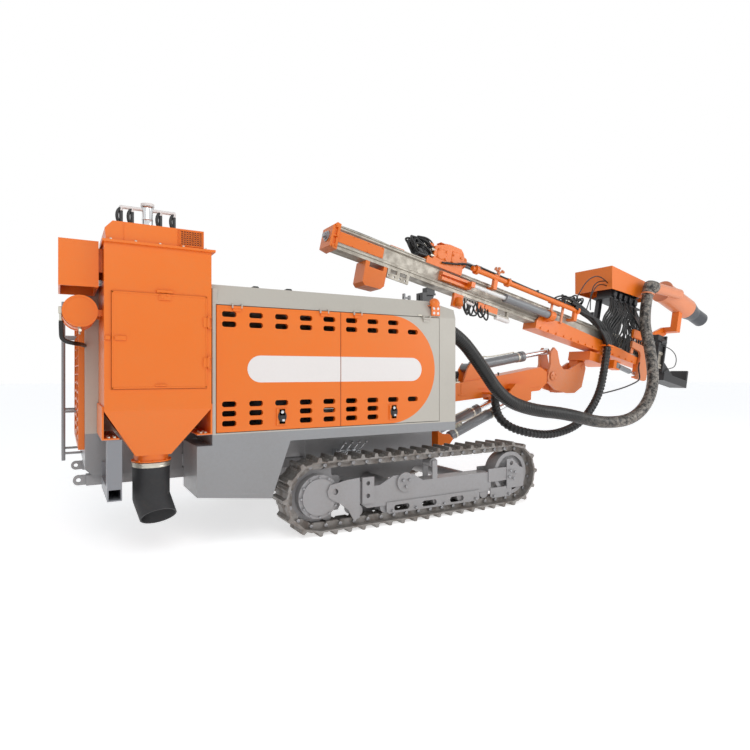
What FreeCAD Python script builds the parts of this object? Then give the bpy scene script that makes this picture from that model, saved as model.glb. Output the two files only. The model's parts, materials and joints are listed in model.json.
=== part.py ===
import FreeCAD
import Part
import math
import os
from FreeCAD import Vector

# Crawler drilling rig: tracks, full-width machine hood, folding boom and a long feed
# that lies back over the hood. Millimetres, +Z up, +X to the front, +Y to the
# machine's left. Z = 0 is the ground. The whole rig is moved at the end so that the
# origin is the bottom centre of its box.

# Running gear
TRACK_REAR_X = 2135.0
WHEELBASE = 2475.0
PITCH_R = 290.6
LOOP_LEN = 2 * WHEELBASE + 2 * math.pi * PITCH_R
SHOE_COUNT = round(LOOP_LEN / 154.0)
SHOE_PITCH = LOOP_LEN / SHOE_COUNT
SHOE_W = 300.0
SHOE_T = 16.0
GROUSER_H = 36.0
GROUSER_T = 24.0
LINK_UP = 30.0
LINK_DOWN = 34.0
LINK_T = 34.0
LINK_GAP = 70.0
TRACK_OUT_Y = 1200.0
BEAM_Z0, BEAM_Z1 = 195.0, 410.0
BEAM_W = 190.0
ROLLER_R = 62.0
ROLLER_COUNT = 6
CARRIER_R = 50.0

# Chassis and deck
CHASSIS_HALF = 560.0
CHASSIS_X0, CHASSIS_X1 = 2250.0, 3890.0
CHASSIS_Z0, CHASSIS_Z1 = 330.0, 860.0
DECK_Z0, DECK_Z1 = 930.0, 1020.0
RAIL_Y = 450.0
RAIL_Z0 = 560.0
BASE_Z0 = 650.0
BASE_X1 = 1000.0
TOW_R = 19.0
BODY_HALF = 1200.0
BODY_X0, BODY_X1 = 190.0, 3744.0
ROOF_Z = 2318.0
ROOF_EDGE_Z = 2143.0
ROOF_FRONT_Z = 2239.0
ROOF_BREAK_X = 3412.0
ROOF_INSET = 60.0
WALL = 40.0
PARTITION_X = 1130.0

# Doors
DOOR_X0, DOOR_SPLIT, DOOR_X1 = 1158.0, 2350.0, 3530.0
DOOR_T = 40.0
DOOR_GAP = 6.0
ORANGE_END_X = 3466.0
VENT_W, VENT_H = 125.0, 50.0
VENT_X0, VENT_PITCH, VENT_COLS = 1274.0, 239.0, 9
VENT_TOP_Z = (2062.0, 1975.0)
VENT_LOW_Z = (1280.0, 1198.0, 1112.0)
LATCH_COLS = (2, 7)
HINGE_R = 13.0
HINGE_PIN_R = 6.0

# Dust collector
DUST_X0, DUST_X1 = 295.0, 1110.0
DUST_Y0, DUST_Y1 = -1250.0, -560.0
DUST_Z0, DUST_Z1 = 1255.0, 2580.0
DUST_WALL = 25.0
DUST_DOOR_X0, DUST_DOOR_X1 = 343.0, 1073.0
DUST_DOOR_Z0, DUST_DOOR_Z1 = 1423.0, 2195.0
DUST_DOOR_T = 28.0
DUST_HINGE_Z = (1640.0, 1975.0)
HOPPER_OUT_R = 136.0
HOPPER_TRAY_Z = 1040.0
LEG_Z0 = 545.0
HOPPER_OUT_X = 665.0
HOPPER_OUT_Z = 880.0
SPOUT_R = 146.0

# Rear fittings
REAR_BOX_X0, REAR_BOX_X1 = -12.0, 263.0
REAR_BOX_Y0, REAR_BOX_Y1 = -1150.0, -560.0
REAR_BOX_Z0, REAR_BOX_Z1 = 2224.0, 2583.0
TANK_X, TANK_Z, TANK_R = 136.0, 2034.0, 120.0
TANK_Y0, TANK_LEN = -1130.0, 540.0
LADDER_X, LADDER_Y0, LADDER_Y1 = 30.0, 250.0, 680.0

# Boom
BOOM_Y = -100.0
SWING_X = 4110.0
KING_Z0, KING_Z1 = 500.0, 1494.0
KING_R = 60.0
LUG_T = 54.0
FOOT_X, FOOT_Z = 4330.0, 1285.0
TIP_X, TIP_Z = 6330.0, 1500.0
BOOM_HALF = 130.0
PIN_R = 38.0
PIN_FIT = 0.1
CLEAR = 6.0
HEAD_PLATE_T = 40.0
EAR_X, EAR_Z = 4800.0, 1620.0
LIFT_BASE_X, LIFT_BASE_Z = 4290.0, 705.0
LIFT_EYE_X, LIFT_EYE_Z = 5660.0, 1225.0
LIFT_OUT_Y = 190.0
BARREL_R = 62.0
ROD_R = 36.0
TILT_BARREL_R = 68.0
TILT_ROD_R = 38.0

# Feed, in its own frame: u along the beam to the front, v to the left, w up
FEED_X, FEED_Y, FEED_Z = 2690.0, -305.0, 2943.0
FEED_SLOPE = 12.5
FEED_LEN = 6150.0
FEED_HALF = 95.0
FEED_H = 275.0
FEED_RAIL = 70.0
FEED_WEB = FEED_HALF - 26
CRADLE_U0, CRADLE_U1 = 3165.0, 5700.0
CRADLE_T = 85.0
CHEEK_T = 30.0
PIN_UP_U, PIN_UP_W = 3817.0, -251.0
TILT_U, TILT_W = 4471.0, -351.0
SWING_U = 4642.0
SWING_DISC_R = 130.0

# Upper structure of the feed
DRILL_W = FEED_H + 165
CHUCK_U = 1830.0
EXT_V = -195.0
EXT_W = 136.0
EXT_ROD_U0, EXT_BARREL_U0, EXT_BARREL_U1 = 1890.0, 2460.0, 3420.0
EXT_BARREL_R, EXT_ROD_R = 52.0, 26.0
EXT_STROKE = 400.0
COVER_U0, COVER_U1 = 4522.0, 5498.0
COVER_Y0, COVER_Y1 = -145.0, 555.0
COVER_W0, COVER_FRONT_W0, COVER_W1 = 921.0, 995.0, 1267.0
SHELF_W = COVER_W0 - 120
SWING_CYL_BASE_U, SWING_CYL_BASE_V = 4872.0, -207.0
SWING_CYL_EYE_U, SWING_CYL_EYE_V = 5522.0, -95.0
SWING_CYL_W = -236.0
SWING_BARREL_R, SWING_ROD_R = 40.0, 22.0

PRE_U0, PRE_V, PRE_W0 = 5982.0, -45.0, 1299.0
PRE_TILT = 8.0
PRE_R = 175.0
PRE_DRUM, PRE_CONE, PRE_TIP = 720.0, 240.0, 260.0
INLET_R = 84.0
INLET_LEAN = 5.5
INLET_U, INLET_V, INLET_W = 5282.0, -290.0, 1149.0
BULKHEAD_U, BULKHEAD_W = 4612.0, -5.0

# Hoses
DUCT_R = 82.0
BUNDLE_R = 57.0
DUCT_STUB = 70.0
BOOM_BULKHEAD_X, BOOM_BULKHEAD_Z = 5035.0, 1262.0
REST_U, REST_GAP = 1400.0, 34.0
REST_Y0, REST_Y1 = -340.0, -200.0

# A standing gap between two pieces that rest against each other
SEAT = 0.3

SHAPES = {}


def box(x0, x1, y0, y1, z0, z1):
    return Part.makeBox(x1 - x0, y1 - y0, z1 - z0, Vector(x0, y0, z0))


def rod(start, axis, radius, length):
    return Part.makeCylinder(radius, length, Vector(*start), Vector(*axis))


def sphere(middle, radius):
    return Part.makeSphere(radius, Vector(*middle))


def cross_pin(x, y0, y1, z, radius):
    """A round bar along Y."""
    return rod((x, y0, z), (0, 1, 0), radius, y1 - y0)


def plate_xz(points, y0, y1):
    """A flat plate with an outline of (x, z) points, from y0 to y1."""
    face = Part.Face(Part.makePolygon([Vector(x, y0, z) for x, z in points + points[:1]]))
    return face.extrude(Vector(0, y1 - y0, 0))


def plate_yz(points, x0, x1):
    face = Part.Face(Part.makePolygon([Vector(x0, y, z) for y, z in points + points[:1]]))
    return face.extrude(Vector(x1 - x0, 0, 0))


def plate_xy(points, z0, z1):
    face = Part.Face(Part.makePolygon([Vector(x, y, z0) for x, y in points + points[:1]]))
    return face.extrude(Vector(0, 0, z1 - z0))


def fuse(*shapes):
    whole = shapes[0].multiFuse(list(shapes[1:])) if len(shapes) > 1 else shapes[0]
    return whole.removeSplitter()


def mirror_y(shape):
    return shape.mirror(Vector(0, 0, 0), Vector(0, 1, 0))


def feed_point(u, w):
    """The (x, z) of a point of the feed's side view."""
    a = math.radians(FEED_SLOPE)
    return (
        FEED_X + u * math.cos(a) + w * math.sin(a),
        FEED_Z - u * math.sin(a) + w * math.cos(a),
    )


def on_feed(shape):
    """Lays a shape that was built along u, v, w onto the sloping feed."""
    turn = FreeCAD.Rotation(Vector(0, 1, 0), FEED_SLOPE)
    place = FreeCAD.Placement(Vector(FEED_X, FEED_Y, FEED_Z), turn)
    moved = shape.copy()
    moved.Placement = place.multiply(moved.Placement)
    return moved


def put(name, *shapes):
    """Keeps a node: its solids side by side."""
    solids = [s for shape in shapes for s in shape.Solids]
    SHAPES[name] = solids[0] if len(solids) == 1 else Part.makeCompound(solids)


# Tracks

SHOE_TOP = PITCH_R + LINK_UP + SHOE_T
TRACK_TOP_R = SHOE_TOP + GROUSER_H
AXLE_Z = TRACK_TOP_R
TRACK_FRONT_X = TRACK_REAR_X + WHEELBASE
TRACK_MID_Y = TRACK_OUT_Y - SHOE_W / 2
CARRIER_XS = (TRACK_REAR_X + 1375,)


def loop_point(s, offset):
    """A point at length s along the pitch loop, moved out by offset."""
    arc = math.pi * PITCH_R
    total = 2 * WHEELBASE + 2 * arc
    s = s % total
    r = PITCH_R + offset
    if s < WHEELBASE:
        return TRACK_REAR_X + s, AXLE_Z + r
    s -= WHEELBASE
    if s < arc:
        a = math.pi / 2 - s / PITCH_R
        return TRACK_FRONT_X + r * math.cos(a), AXLE_Z + r * math.sin(a)
    s -= arc
    if s < WHEELBASE:
        return TRACK_FRONT_X - s, AXLE_Z - r
    s -= WHEELBASE
    a = -math.pi / 2 - s / PITCH_R
    return TRACK_REAR_X + r * math.cos(a), AXLE_Z + r * math.sin(a)


def loop_face(samples):
    """A closed outline from (length, offset) pairs on the loop."""
    points = [loop_point(s, offset) for s, offset in samples]
    return points


def track_loop():
    """One track, y from 0 to the shoe width: shoes with one grouser each on two rows of links."""
    outer = []
    inner = []
    half = SHOE_PITCH / 2
    for i in range(SHOE_COUNT):
        s = i * SHOE_PITCH
        outer += [
            (s - half + 8, LINK_UP + SHOE_T),
            (s - GROUSER_T, LINK_UP + SHOE_T),
            (s - GROUSER_T / 2, LINK_UP + SHOE_T + GROUSER_H),
            (s + GROUSER_T / 2, LINK_UP + SHOE_T + GROUSER_H),
            (s + GROUSER_T, LINK_UP + SHOE_T),
            (s + half - 2, LINK_UP + SHOE_T - 7),
        ]
        inner += [(s, LINK_UP)]
    shoes = plate_xz(loop_face(outer), 0, SHOE_W).cut(plate_xz(loop_face(inner), -1, SHOE_W + 1))
    link_out = [(i * SHOE_PITCH, LINK_UP + 2) for i in range(SHOE_COUNT)]
    link_in = []
    for i in range(SHOE_COUNT):
        s = i * SHOE_PITCH
        link_in += [(s - half + 22, -LINK_DOWN), (s + half - 22, -LINK_DOWN), (s + half, -LINK_DOWN / 2)]
    ring = plate_xz(loop_face(link_out), 0, LINK_T).cut(plate_xz(loop_face(link_in), -1, LINK_T + 1))
    rings = []
    for side in (-1, 1):
        link = ring.copy()
        link.translate(Vector(0, SHOE_W / 2 + side * (LINK_GAP + LINK_T) / 2 - LINK_T / 2, 0))
        rings.append(link)
    return fuse(shoes, *rings)


def both_sides(name, shape):
    """A piece of the right side as built, and its mirror image on the left."""
    put(name + "_right", shape)
    put(name + "_left", mirror_y(shape))


def put_pair(name, *shapes):
    """One node with the right side's solids and their mirror images."""
    put(name, *shapes, *[mirror_y(s) for s in shapes])


def tracks():
    loop = track_loop()
    loop.translate(Vector(0, -TRACK_OUT_Y, 0))
    both_sides("track", loop)


def sprocket():
    """The toothed drive wheel at the rear, its hub motor inside the frame."""
    r_root = PITCH_R - LINK_DOWN - 4
    tooth = PITCH_R + 6
    count = 12
    points = []
    for i in range(count):
        a = 2 * math.pi * i / count
        for da, r in ((-0.42, r_root), (-0.16, tooth), (0.16, tooth), (0.42, r_root)):
            t = a + da * 2 * math.pi / count
            points.append((TRACK_REAR_X + r * math.cos(t), AXLE_Z + r * math.sin(t)))
    half = LINK_GAP / 2 - 8
    disc = plate_xz(points, -TRACK_MID_Y - half, -TRACK_MID_Y + half)
    rim = r_root - 44
    drum = cross_pin(TRACK_REAR_X, -TRACK_OUT_Y + 30, -TRACK_OUT_Y + SHOE_W, AXLE_Z, rim)
    cap = cross_pin(TRACK_REAR_X, -TRACK_OUT_Y + 12, -TRACK_OUT_Y + 40, AXLE_Z, rim * 0.83)
    return fuse(disc, drum, cap)


def idler():
    r = PITCH_R - LINK_DOWN - 7.5
    wheel = cross_pin(TRACK_FRONT_X, -TRACK_MID_Y - 85, -TRACK_MID_Y + 85, AXLE_Z, r)
    groove = cross_pin(TRACK_FRONT_X, -TRACK_MID_Y - 86, -TRACK_MID_Y - 45, AXLE_Z, r - 45)
    wheel = wheel.cut(groove)
    groove2 = cross_pin(TRACK_FRONT_X, -TRACK_MID_Y + 45, -TRACK_MID_Y + 86, AXLE_Z, r - 45)
    wheel = wheel.cut(groove2)
    hub = cross_pin(TRACK_FRONT_X, -TRACK_MID_Y - 84, -TRACK_MID_Y + 84, AXLE_Z, 70)
    return fuse(wheel, hub)


def rollers():
    """Bottom rollers and two carrier rollers, each on its own axle."""
    low = AXLE_Z - PITCH_R + LINK_DOWN + ROLLER_R + 0.3
    high = AXLE_Z + PITCH_R - LINK_DOWN - CARRIER_R - 0.3
    first = TRACK_REAR_X + 430
    last = TRACK_FRONT_X - 400
    out = []
    for i in range(ROLLER_COUNT):
        x = first + (last - first) * i / (ROLLER_COUNT - 1)
        out.append(cross_pin(x, -TRACK_MID_Y - 80, -TRACK_MID_Y + 80, low, ROLLER_R))
    for x in CARRIER_XS:
        out.append(cross_pin(x, -TRACK_MID_Y - 70, -TRACK_MID_Y + 70, high, CARRIER_R))
    return out


def slot(x, y0, y1, z, length, radius):
    """A through hole with round ends, along Y."""
    half = length / 2 - radius
    return fuse(cross_pin(x - half, y0, y1, z, radius), cross_pin(x + half, y0, y1, z, radius),
                box(x - half, x + half, y0, y1, z - radius, z + radius))


def outer_plates(y0):
    """The plates on the outer side of a track frame that starts at y0."""
    x = TRACK_REAR_X
    guards = []
    for g0, g1, windows in ((x + 760, x + 1985, (945, 1295, 1665)), (x + 2150, x + 2475, ())):
        guard = plate_xz([(g0, 130), (g0 + 30, 108), (g1 - 30, 108), (g1, 130), (g1, BEAM_Z0 + 30),
                          (g0, BEAM_Z0 + 30)], y0 - 12, y0)
        for window in windows:
            guard = guard.cut(slot(x + window, y0 - 13, y0 + 1, 160, 190, 30))
        guards.append(guard)
    gusset = plate_xz([(x + 600, BEAM_Z1 - 40), (x + 850, BEAM_Z1 + 80), (x + 1090, BEAM_Z1 + 80),
                       (x + 1280, BEAM_Z1 - 40)], y0, y0 + 20)
    cover = cross_pin(x + 985, y0 - 22, y0 + 1, BEAM_Z1 + 5, 100)
    ear_y = -TRACK_OUT_Y - 4
    ear = plate_xz([(x + 73, 420), (x + 100, 478), (x + 158, 488), (x + 283, 510), (x + 422, 520), (x + 422, 130),
                    (x + 360, 106), (x + 294, 219), (x + 207, 290), (x + 130, 330), (x + 85, 365)], ear_y, ear_y + 14)
    ear = ear.cut(cross_pin(x + 158, ear_y - 1, ear_y + 15, 410, 30))
    block = box(x + 345, x + 420, ear_y + 13, y0 + 1, BEAM_Z0 + 65, BEAM_Z1 + 50)
    double = box(x + 465, x + 600, y0 - 34, y0, BEAM_Z0 + 55, BEAM_Z1 + 100)
    for z in (BEAM_Z0 + 130, BEAM_Z1 + 40):
        double = double.cut(cross_pin(x + 532, y0 - 35, y0 + 1, z, 22))
    nose = plate_xz([(x + 2399, 200), (x + 2399, 540), (x + 2485, 545), (x + 2600, 440), (x + 2660, 420),
                     (x + 2660, 205)], y0 - 18, y0 - 2)
    nose = nose.cut(cross_pin(x + 2469, y0 - 19, y0, 490, 26))
    return guards + [gusset, cover, ear, block, double, nose]


def track_frame():
    """The side beam with its guards, cover plate, lugs and roller bracket."""
    y0 = -TRACK_MID_Y - BEAM_W / 2
    y1 = -TRACK_MID_Y + BEAM_W / 2
    x0 = TRACK_REAR_X + 335
    x1 = TRACK_FRONT_X - 310
    beam = plate_xz(
        [(x0, BEAM_Z0 + 60), (x0 + 120, BEAM_Z0 + 60), (x0 + 200, BEAM_Z0), (x1, BEAM_Z0),
         (x1, BEAM_Z1), (x0 + 260, BEAM_Z1), (x0 + 160, BEAM_Z1 + 60), (x0, BEAM_Z1 + 60)], y0, y1)
    low = AXLE_Z - PITCH_R + LINK_DOWN + ROLLER_R + 0.3
    first = TRACK_REAR_X + 430
    last = TRACK_FRONT_X - 400
    for i in range(ROLLER_COUNT):
        x = first + (last - first) * i / (ROLLER_COUNT - 1)
        beam = beam.cut(cross_pin(x, -TRACK_MID_Y - 85, -TRACK_MID_Y + 85, low, ROLLER_R + 8))
    pieces = [beam]
    guard = plate_xz([(x0 + 130, 130), (x0 + 160, 108), (x1 - 30, 108), (x1, 130), (x1, BEAM_Z0 + 30),
                      (x0 + 130, BEAM_Z0 + 30)], y1, y1 + 12)
    pieces.append(guard)
    pieces += outer_plates(y0)
    for x in CARRIER_XS:
        high = AXLE_Z + PITCH_R - LINK_DOWN - CARRIER_R - 0.3
        for side in (-TRACK_MID_Y - BEAM_W / 2, -TRACK_MID_Y + BEAM_W / 2 - 16):
            pieces.append(box(x - 32, x + 32, side, side + 16, BEAM_Z1 - 5, high + 25))
        pieces.append(cross_pin(x, -TRACK_MID_Y - BEAM_W / 2, -TRACK_MID_Y + BEAM_W / 2, high, 18))
    fork_z0, fork_z1 = AXLE_Z - 75, AXLE_Z + 75
    for side in (-TRACK_MID_Y - 106, -TRACK_MID_Y + 86 + 4):
        pieces.append(box(x1 - 40, TRACK_FRONT_X + 60, side, side + 16, fork_z0, fork_z1))
    pieces.append(cross_pin(TRACK_FRONT_X, -TRACK_MID_Y - 106, -TRACK_MID_Y + 106, AXLE_Z, 34))
    inner_y = -(TRACK_OUT_Y - SHOE_W) + SEAT
    drive = plate_xz([(TRACK_REAR_X - 60, AXLE_Z - 150), (TRACK_REAR_X + 80, AXLE_Z - 160), (x0 + 160, BEAM_Z0 + 62),
                      (x0 + 160, BEAM_Z1 + 50), (TRACK_REAR_X + 80, AXLE_Z + 160), (TRACK_REAR_X - 60, AXLE_Z + 150)],
                     inner_y, inner_y + 30)
    pieces.append(drive)
    pieces.append(cross_pin(TRACK_REAR_X, inner_y, inner_y + 30, AXLE_Z, 172))
    pieces.append(cross_pin(TRACK_REAR_X, inner_y + 29, inner_y + 150, AXLE_Z, 105))
    pieces.append(box(x0 + 10, x0 + 150, y1 - 2, inner_y + 2, BEAM_Z0 + 70, BEAM_Z1 + 40))
    return fuse(*pieces)


def build_running_gear():
    tracks()
    put_pair("sprockets", sprocket())
    put_pair("idlers", idler().cut(
        cross_pin(TRACK_FRONT_X, -TRACK_OUT_Y - 1, -600, AXLE_Z, 34.3)))
    low_rollers = rollers()
    frame = track_frame()
    holes = []
    for x in CARRIER_XS:
        high = AXLE_Z + PITCH_R - LINK_DOWN - CARRIER_R - 0.3
        holes.append(cross_pin(x, -TRACK_OUT_Y, -600, high, 18.3))
    carriers = [r.cut(hole) for r, hole in zip(low_rollers[ROLLER_COUNT:], holes)]
    put_pair("rollers", *low_rollers[:ROLLER_COUNT], *carriers)
    both_sides("track_frame", frame)


# Chassis, deck and hood

def chassis():
    """The centre frame between the tracks, with its pivot tubes, two long rails and the tow lugs."""
    main = box(CHASSIS_X0, CHASSIS_X1, -CHASSIS_HALF, CHASSIS_HALF, CHASSIS_Z0 + 120, CHASSIS_Z1)
    keel = plate_xz([(CHASSIS_X0 + 150, CHASSIS_Z0 + 130), (CHASSIS_X0 + 260, CHASSIS_Z0),
                     (CHASSIS_X1 - 300, CHASSIS_Z0), (CHASSIS_X1 - 160, CHASSIS_Z0 + 130)],
                    -CHASSIS_HALF + 80, CHASSIS_HALF - 80)
    reach = TRACK_MID_Y - BEAM_W / 2 - SEAT
    tubes = [cross_pin(x, -reach, reach, BEAM_Z1 - 60, 70)
             for x in (TRACK_REAR_X + 900, TRACK_FRONT_X - 600)]
    pieces = [main, keel] + tubes
    for y in (-RAIL_Y, RAIL_Y):
        pieces.append(box(CHASSIS_X0 - 150, BODY_X1 - 40, y - 60, y + 60, CHASSIS_Z1 - 2, DECK_Z0))
        pieces.append(box(BODY_X0 + 10, CHASSIS_X0 + 10, y - 60, y + 60, RAIL_Z0, BASE_Z0))
        pieces.append(plate_xz([(BODY_X0 - 48, RAIL_Z0 + 2), (BODY_X0 + 60, RAIL_Z0 + 2), (BODY_X0 + 60, BASE_Z0 - 2),
                                (BODY_X0 - 48, BASE_Z0 - 2)], y - 15, y + 15))
        pieces.append(cross_pin(BODY_X0 - 48, y - 15, y + 15, (RAIL_Z0 + BASE_Z0) / 2, 44))
    whole = fuse(*pieces)
    return whole.cut(cross_pin(BODY_X0 - 48, -RAIL_Y - 60, RAIL_Y + 60, (RAIL_Z0 + BASE_Z0) / 2, TOW_R))


def rear_base():
    """The closed lower part of the body behind the tracks."""
    y0 = DUST_Y1 + SEAT
    body = box(BODY_X0, BASE_X1, y0, BODY_HALF, BASE_Z0, DECK_Z0)
    chamfer = plate_xz([(BODY_X0 - 1, BASE_Z0 - 1), (BODY_X0 + 60, BASE_Z0 - 1), (BODY_X0 - 1, BASE_Z0 + 60)], y0 - 1, BODY_HALF + 1)
    return body.cut(chamfer)


def deck():
    plate = box(BODY_X0, BODY_X1, -BODY_HALF, BODY_HALF, DECK_Z0, DECK_Z1)
    recess = box(BODY_X0 - 1, PARTITION_X, -BODY_HALF - 1, DUST_Y1 + SEAT, DECK_Z0 - 1, DECK_Z1 + 1)
    return plate.cut(recess)


def roof_points():
    """Half of the hood's section above the doors, y outwards."""
    return [(-BODY_HALF, ROOF_EDGE_Z), (-BODY_HALF + ROOF_INSET, ROOF_Z),
            (BODY_HALF - ROOF_INSET, ROOF_Z), (BODY_HALF, ROOF_EDGE_Z)]


def hood_shell():
    """The whole hood as one hollow body, before it is cut into its panels."""
    outer = plate_yz([(-BODY_HALF, DECK_Z1)] + roof_points() + [(BODY_HALF, DECK_Z1)],
                     BODY_X0, BODY_X1)
    slope = plate_xz([(ROOF_BREAK_X, ROOF_Z), (BODY_X1 + 5, ROOF_FRONT_Z - 1), (BODY_X1 + 5, ROOF_Z + 50),
                      (ROOF_BREAK_X, ROOF_Z + 50)], -BODY_HALF - 5, BODY_HALF + 5)
    outer = outer.cut(slope)
    under = slope.copy()
    under.translate(Vector(0, 0, -WALL))
    inner = plate_yz([(-BODY_HALF + WALL, DECK_Z1 - 1), (-BODY_HALF + WALL, ROOF_EDGE_Z - 12),
                      (-BODY_HALF + ROOF_INSET + WALL, ROOF_Z - WALL), (BODY_HALF - ROOF_INSET - WALL, ROOF_Z - WALL),
                      (BODY_HALF - WALL, ROOF_EDGE_Z - 12), (BODY_HALF - WALL, DECK_Z1 - 1)],
                     BODY_X0 + WALL, BODY_X1 - WALL)
    shell = outer.cut(inner.cut(under))
    recess = box(BODY_X0 - 1, PARTITION_X, -BODY_HALF - 1, DUST_Y1 + SEAT, DECK_Z1 - 1, ROOF_Z + 1)
    wall = box(BODY_X0, PARTITION_X + WALL, DUST_Y1 + SEAT, DUST_Y1 + SEAT + WALL, DECK_Z1, ROOF_Z - WALL - 1)
    cross = box(PARTITION_X, PARTITION_X + WALL - 2, -BODY_HALF + 1, DUST_Y1 + SEAT + 2, DECK_Z1, ROOF_Z - WALL - 1)
    return fuse(shell.cut(recess), wall, cross)


def duct_stub():
    """The short pipe on the hood's front wall that the dust duct is clamped to."""
    start, turn = duct_points()[:2]
    d = (turn - start).normalize()
    pipe = Part.makeCylinder(DUCT_R, DUCT_STUB + 60, start - d * (DUCT_STUB + 60), d)
    flange = Part.makeCylinder(DUCT_R + 12, 16, start - d * 16, d)
    outside = box(BODY_X1 - WALL + 2, BODY_X1 + 400, start.y - 200, start.y + 200, start.z - 300, start.z + 300)
    return fuse(pipe, flange).common(outside)


def hood_panels():
    shell = hood_shell()
    roof_tool = box(BODY_X0 - 10, BODY_X1 + 10, -BODY_HALF - 10, BODY_HALF + 10, ROOF_EDGE_Z, ROOF_Z + 100)
    roof = shell.common(roof_tool)
    walls = shell.cut(roof_tool)
    openings = []
    for side in (-1, 1):
        y = side * BODY_HALF
        low, high = min(y, y - side * (WALL + 1)), max(y, y - side * (WALL + 1))
        openings.append(box(DOOR_X0, DOOR_X1, low - 1, high + 1, DECK_Z1 + 12, ROOF_EDGE_Z + 1))
    rear = box(BODY_X0 - 1, BODY_X0 + WALL + 1, -420, 1000, DECK_Z1 + 60, ROOF_EDGE_Z - 80)
    walls = walls.cut(openings[0]).cut(openings[1]).cut(rear)
    lugs = roof_lugs()
    start, turn = duct_points()[:2]
    bore = Part.makeCylinder(DUCT_R + SEAT, 400, start, start - turn)
    put("hood_roof", fuse(roof, *lugs, *[mirror_y(lug) for lug in lugs], duct_stub()))
    put("hood_walls", walls.cut(bore))


def rear_grille():
    """Slanted louvres in a frame that stands a little behind the rear wall."""
    x0, x1 = BODY_X0 - 50, BODY_X0 - 0.5
    y0, y1 = -440, 1020
    z0, z1 = DECK_Z1 - 150, ROOF_EDGE_Z - 60
    frame = box(x0, x1, y0, y1, z0, z1).cut(box(x0 - 1, x1 + 1, y0 + 45, y1 - 45, z0 + 45, z1 - 45))
    bars = []
    count = 13
    for i in range(count):
        z = z0 + 45 + (z1 - z0 - 90) * (i + 0.5) / count
        bars.append(plate_xz([(x0 + 4, z - 34), (x0 + 10, z - 34), (x1 - 4, z + 30), (x1 - 10, z + 30)],
                             y0 + 40, y1 - 40))
    mid = box(x0 + 3, x1 - 3, (y0 + y1) / 2 - 18, (y0 + y1) / 2 + 18, z0 + 20, z1 - 20)
    return fuse(frame, mid, *bars)


def vent_cut(x, z, y0, y1):
    """An obround slot, drawn with eight sides."""
    a, b = VENT_W / 2, VENT_H / 2
    k = b * 0.55
    return plate_xz([(x - a + k, z - b), (x + a - k, z - b), (x + a, z - b + k), (x + a, z + b - k),
                     (x + a - k, z + b), (x - a + k, z + b), (x - a, z + b - k), (x - a, z - b + k)], y0, y1)


def vents(x0, x1, y0, y1):
    cuts = []
    for col in range(VENT_COLS):
        x = VENT_X0 + col * VENT_PITCH
        if not x0 < x < x1:
            continue
        last = col == VENT_COLS - 1
        for z in (VENT_TOP_Z[1:] if last else VENT_TOP_Z):
            cuts.append(vent_cut(x, z, y0, y1))
        low = VENT_LOW_Z[:1] if last or col in LATCH_COLS else VENT_LOW_Z
        for z in low:
            cuts.append(vent_cut(x, z, y0, y1))
    return cuts


def orange_end(y0, y1):
    """The half-round end of the orange field on the front door."""
    z0, z1 = DECK_Z1 + DOOR_GAP + 12, ROOF_EDGE_Z - DOOR_GAP - 1
    mid = (z0 + z1) / 2
    half = (z1 - z0) / 2
    cx = ORANGE_END_X - half
    a, b, c = Vector(cx, y0, z0), Vector(cx + half, y0, mid), Vector(cx, y0, z1)
    left = DOOR_SPLIT + DOOR_GAP / 2
    d, e = Vector(left, y0, z1), Vector(left, y0, z0)
    wire = Part.Wire([Part.Arc(a, b, c).toShape(), Part.LineSegment(c, d).toShape(),
                      Part.LineSegment(d, e).toShape(), Part.LineSegment(e, a).toShape()])
    return Part.Face(wire).extrude(Vector(0, y1 - y0, 0))


HINGE_Y = -BODY_HALF - HINGE_R - 1
HINGE_Z = ROOF_EDGE_Z - 20
HINGE_LEN = 70.0


def hinge_places(x0, x1):
    return (x0 + 180, x1 - 180)


def door_barrels(x0, x1, y0, z1):
    """Hinge barrels with the leaf that ties them to the door's outer face."""
    out = []
    for x in hinge_places(x0, x1):
        barrel = rod((x - HINGE_LEN / 2, HINGE_Y, HINGE_Z), (1, 0, 0), HINGE_R, HINGE_LEN)
        leaf = box(x - HINGE_LEN / 2, x + HINGE_LEN / 2, HINGE_Y, y0 + 2, HINGE_Z - 34, HINGE_Z - 6)
        bore = rod((x - HINGE_LEN, HINGE_Y, HINGE_Z), (1, 0, 0), HINGE_PIN_R + PIN_FIT, 2 * HINGE_LEN)
        out.append(fuse(barrel, leaf).cut(bore))
    return out


def roof_lugs():
    """Two lugs and a pin for each door hinge, on the roof's lower edge."""
    out = []
    for x0, x1 in ((DOOR_X0, DOOR_SPLIT), (DOOR_SPLIT, DOOR_X1)):
        for x in hinge_places(x0, x1):
            for end in (x - HINGE_LEN / 2 - 10.5, x + HINGE_LEN / 2 + 0.5):
                out.append(plate_yz([(HINGE_Y - 10, HINGE_Z - 8), (HINGE_Y + 4, HINGE_Z - 8),
                                     (-BODY_HALF - 2, ROOF_EDGE_Z), (-BODY_HALF + 20, ROOF_EDGE_Z),
                                     (-BODY_HALF + 20, ROOF_EDGE_Z + 20), (HINGE_Y - HINGE_R, ROOF_EDGE_Z + 4)],
                                    end, end + 10))
            out.append(rod((x - HINGE_LEN / 2 - 10, HINGE_Y, HINGE_Z), (1, 0, 0), HINGE_PIN_R, HINGE_LEN + 20))
    return out


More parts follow.
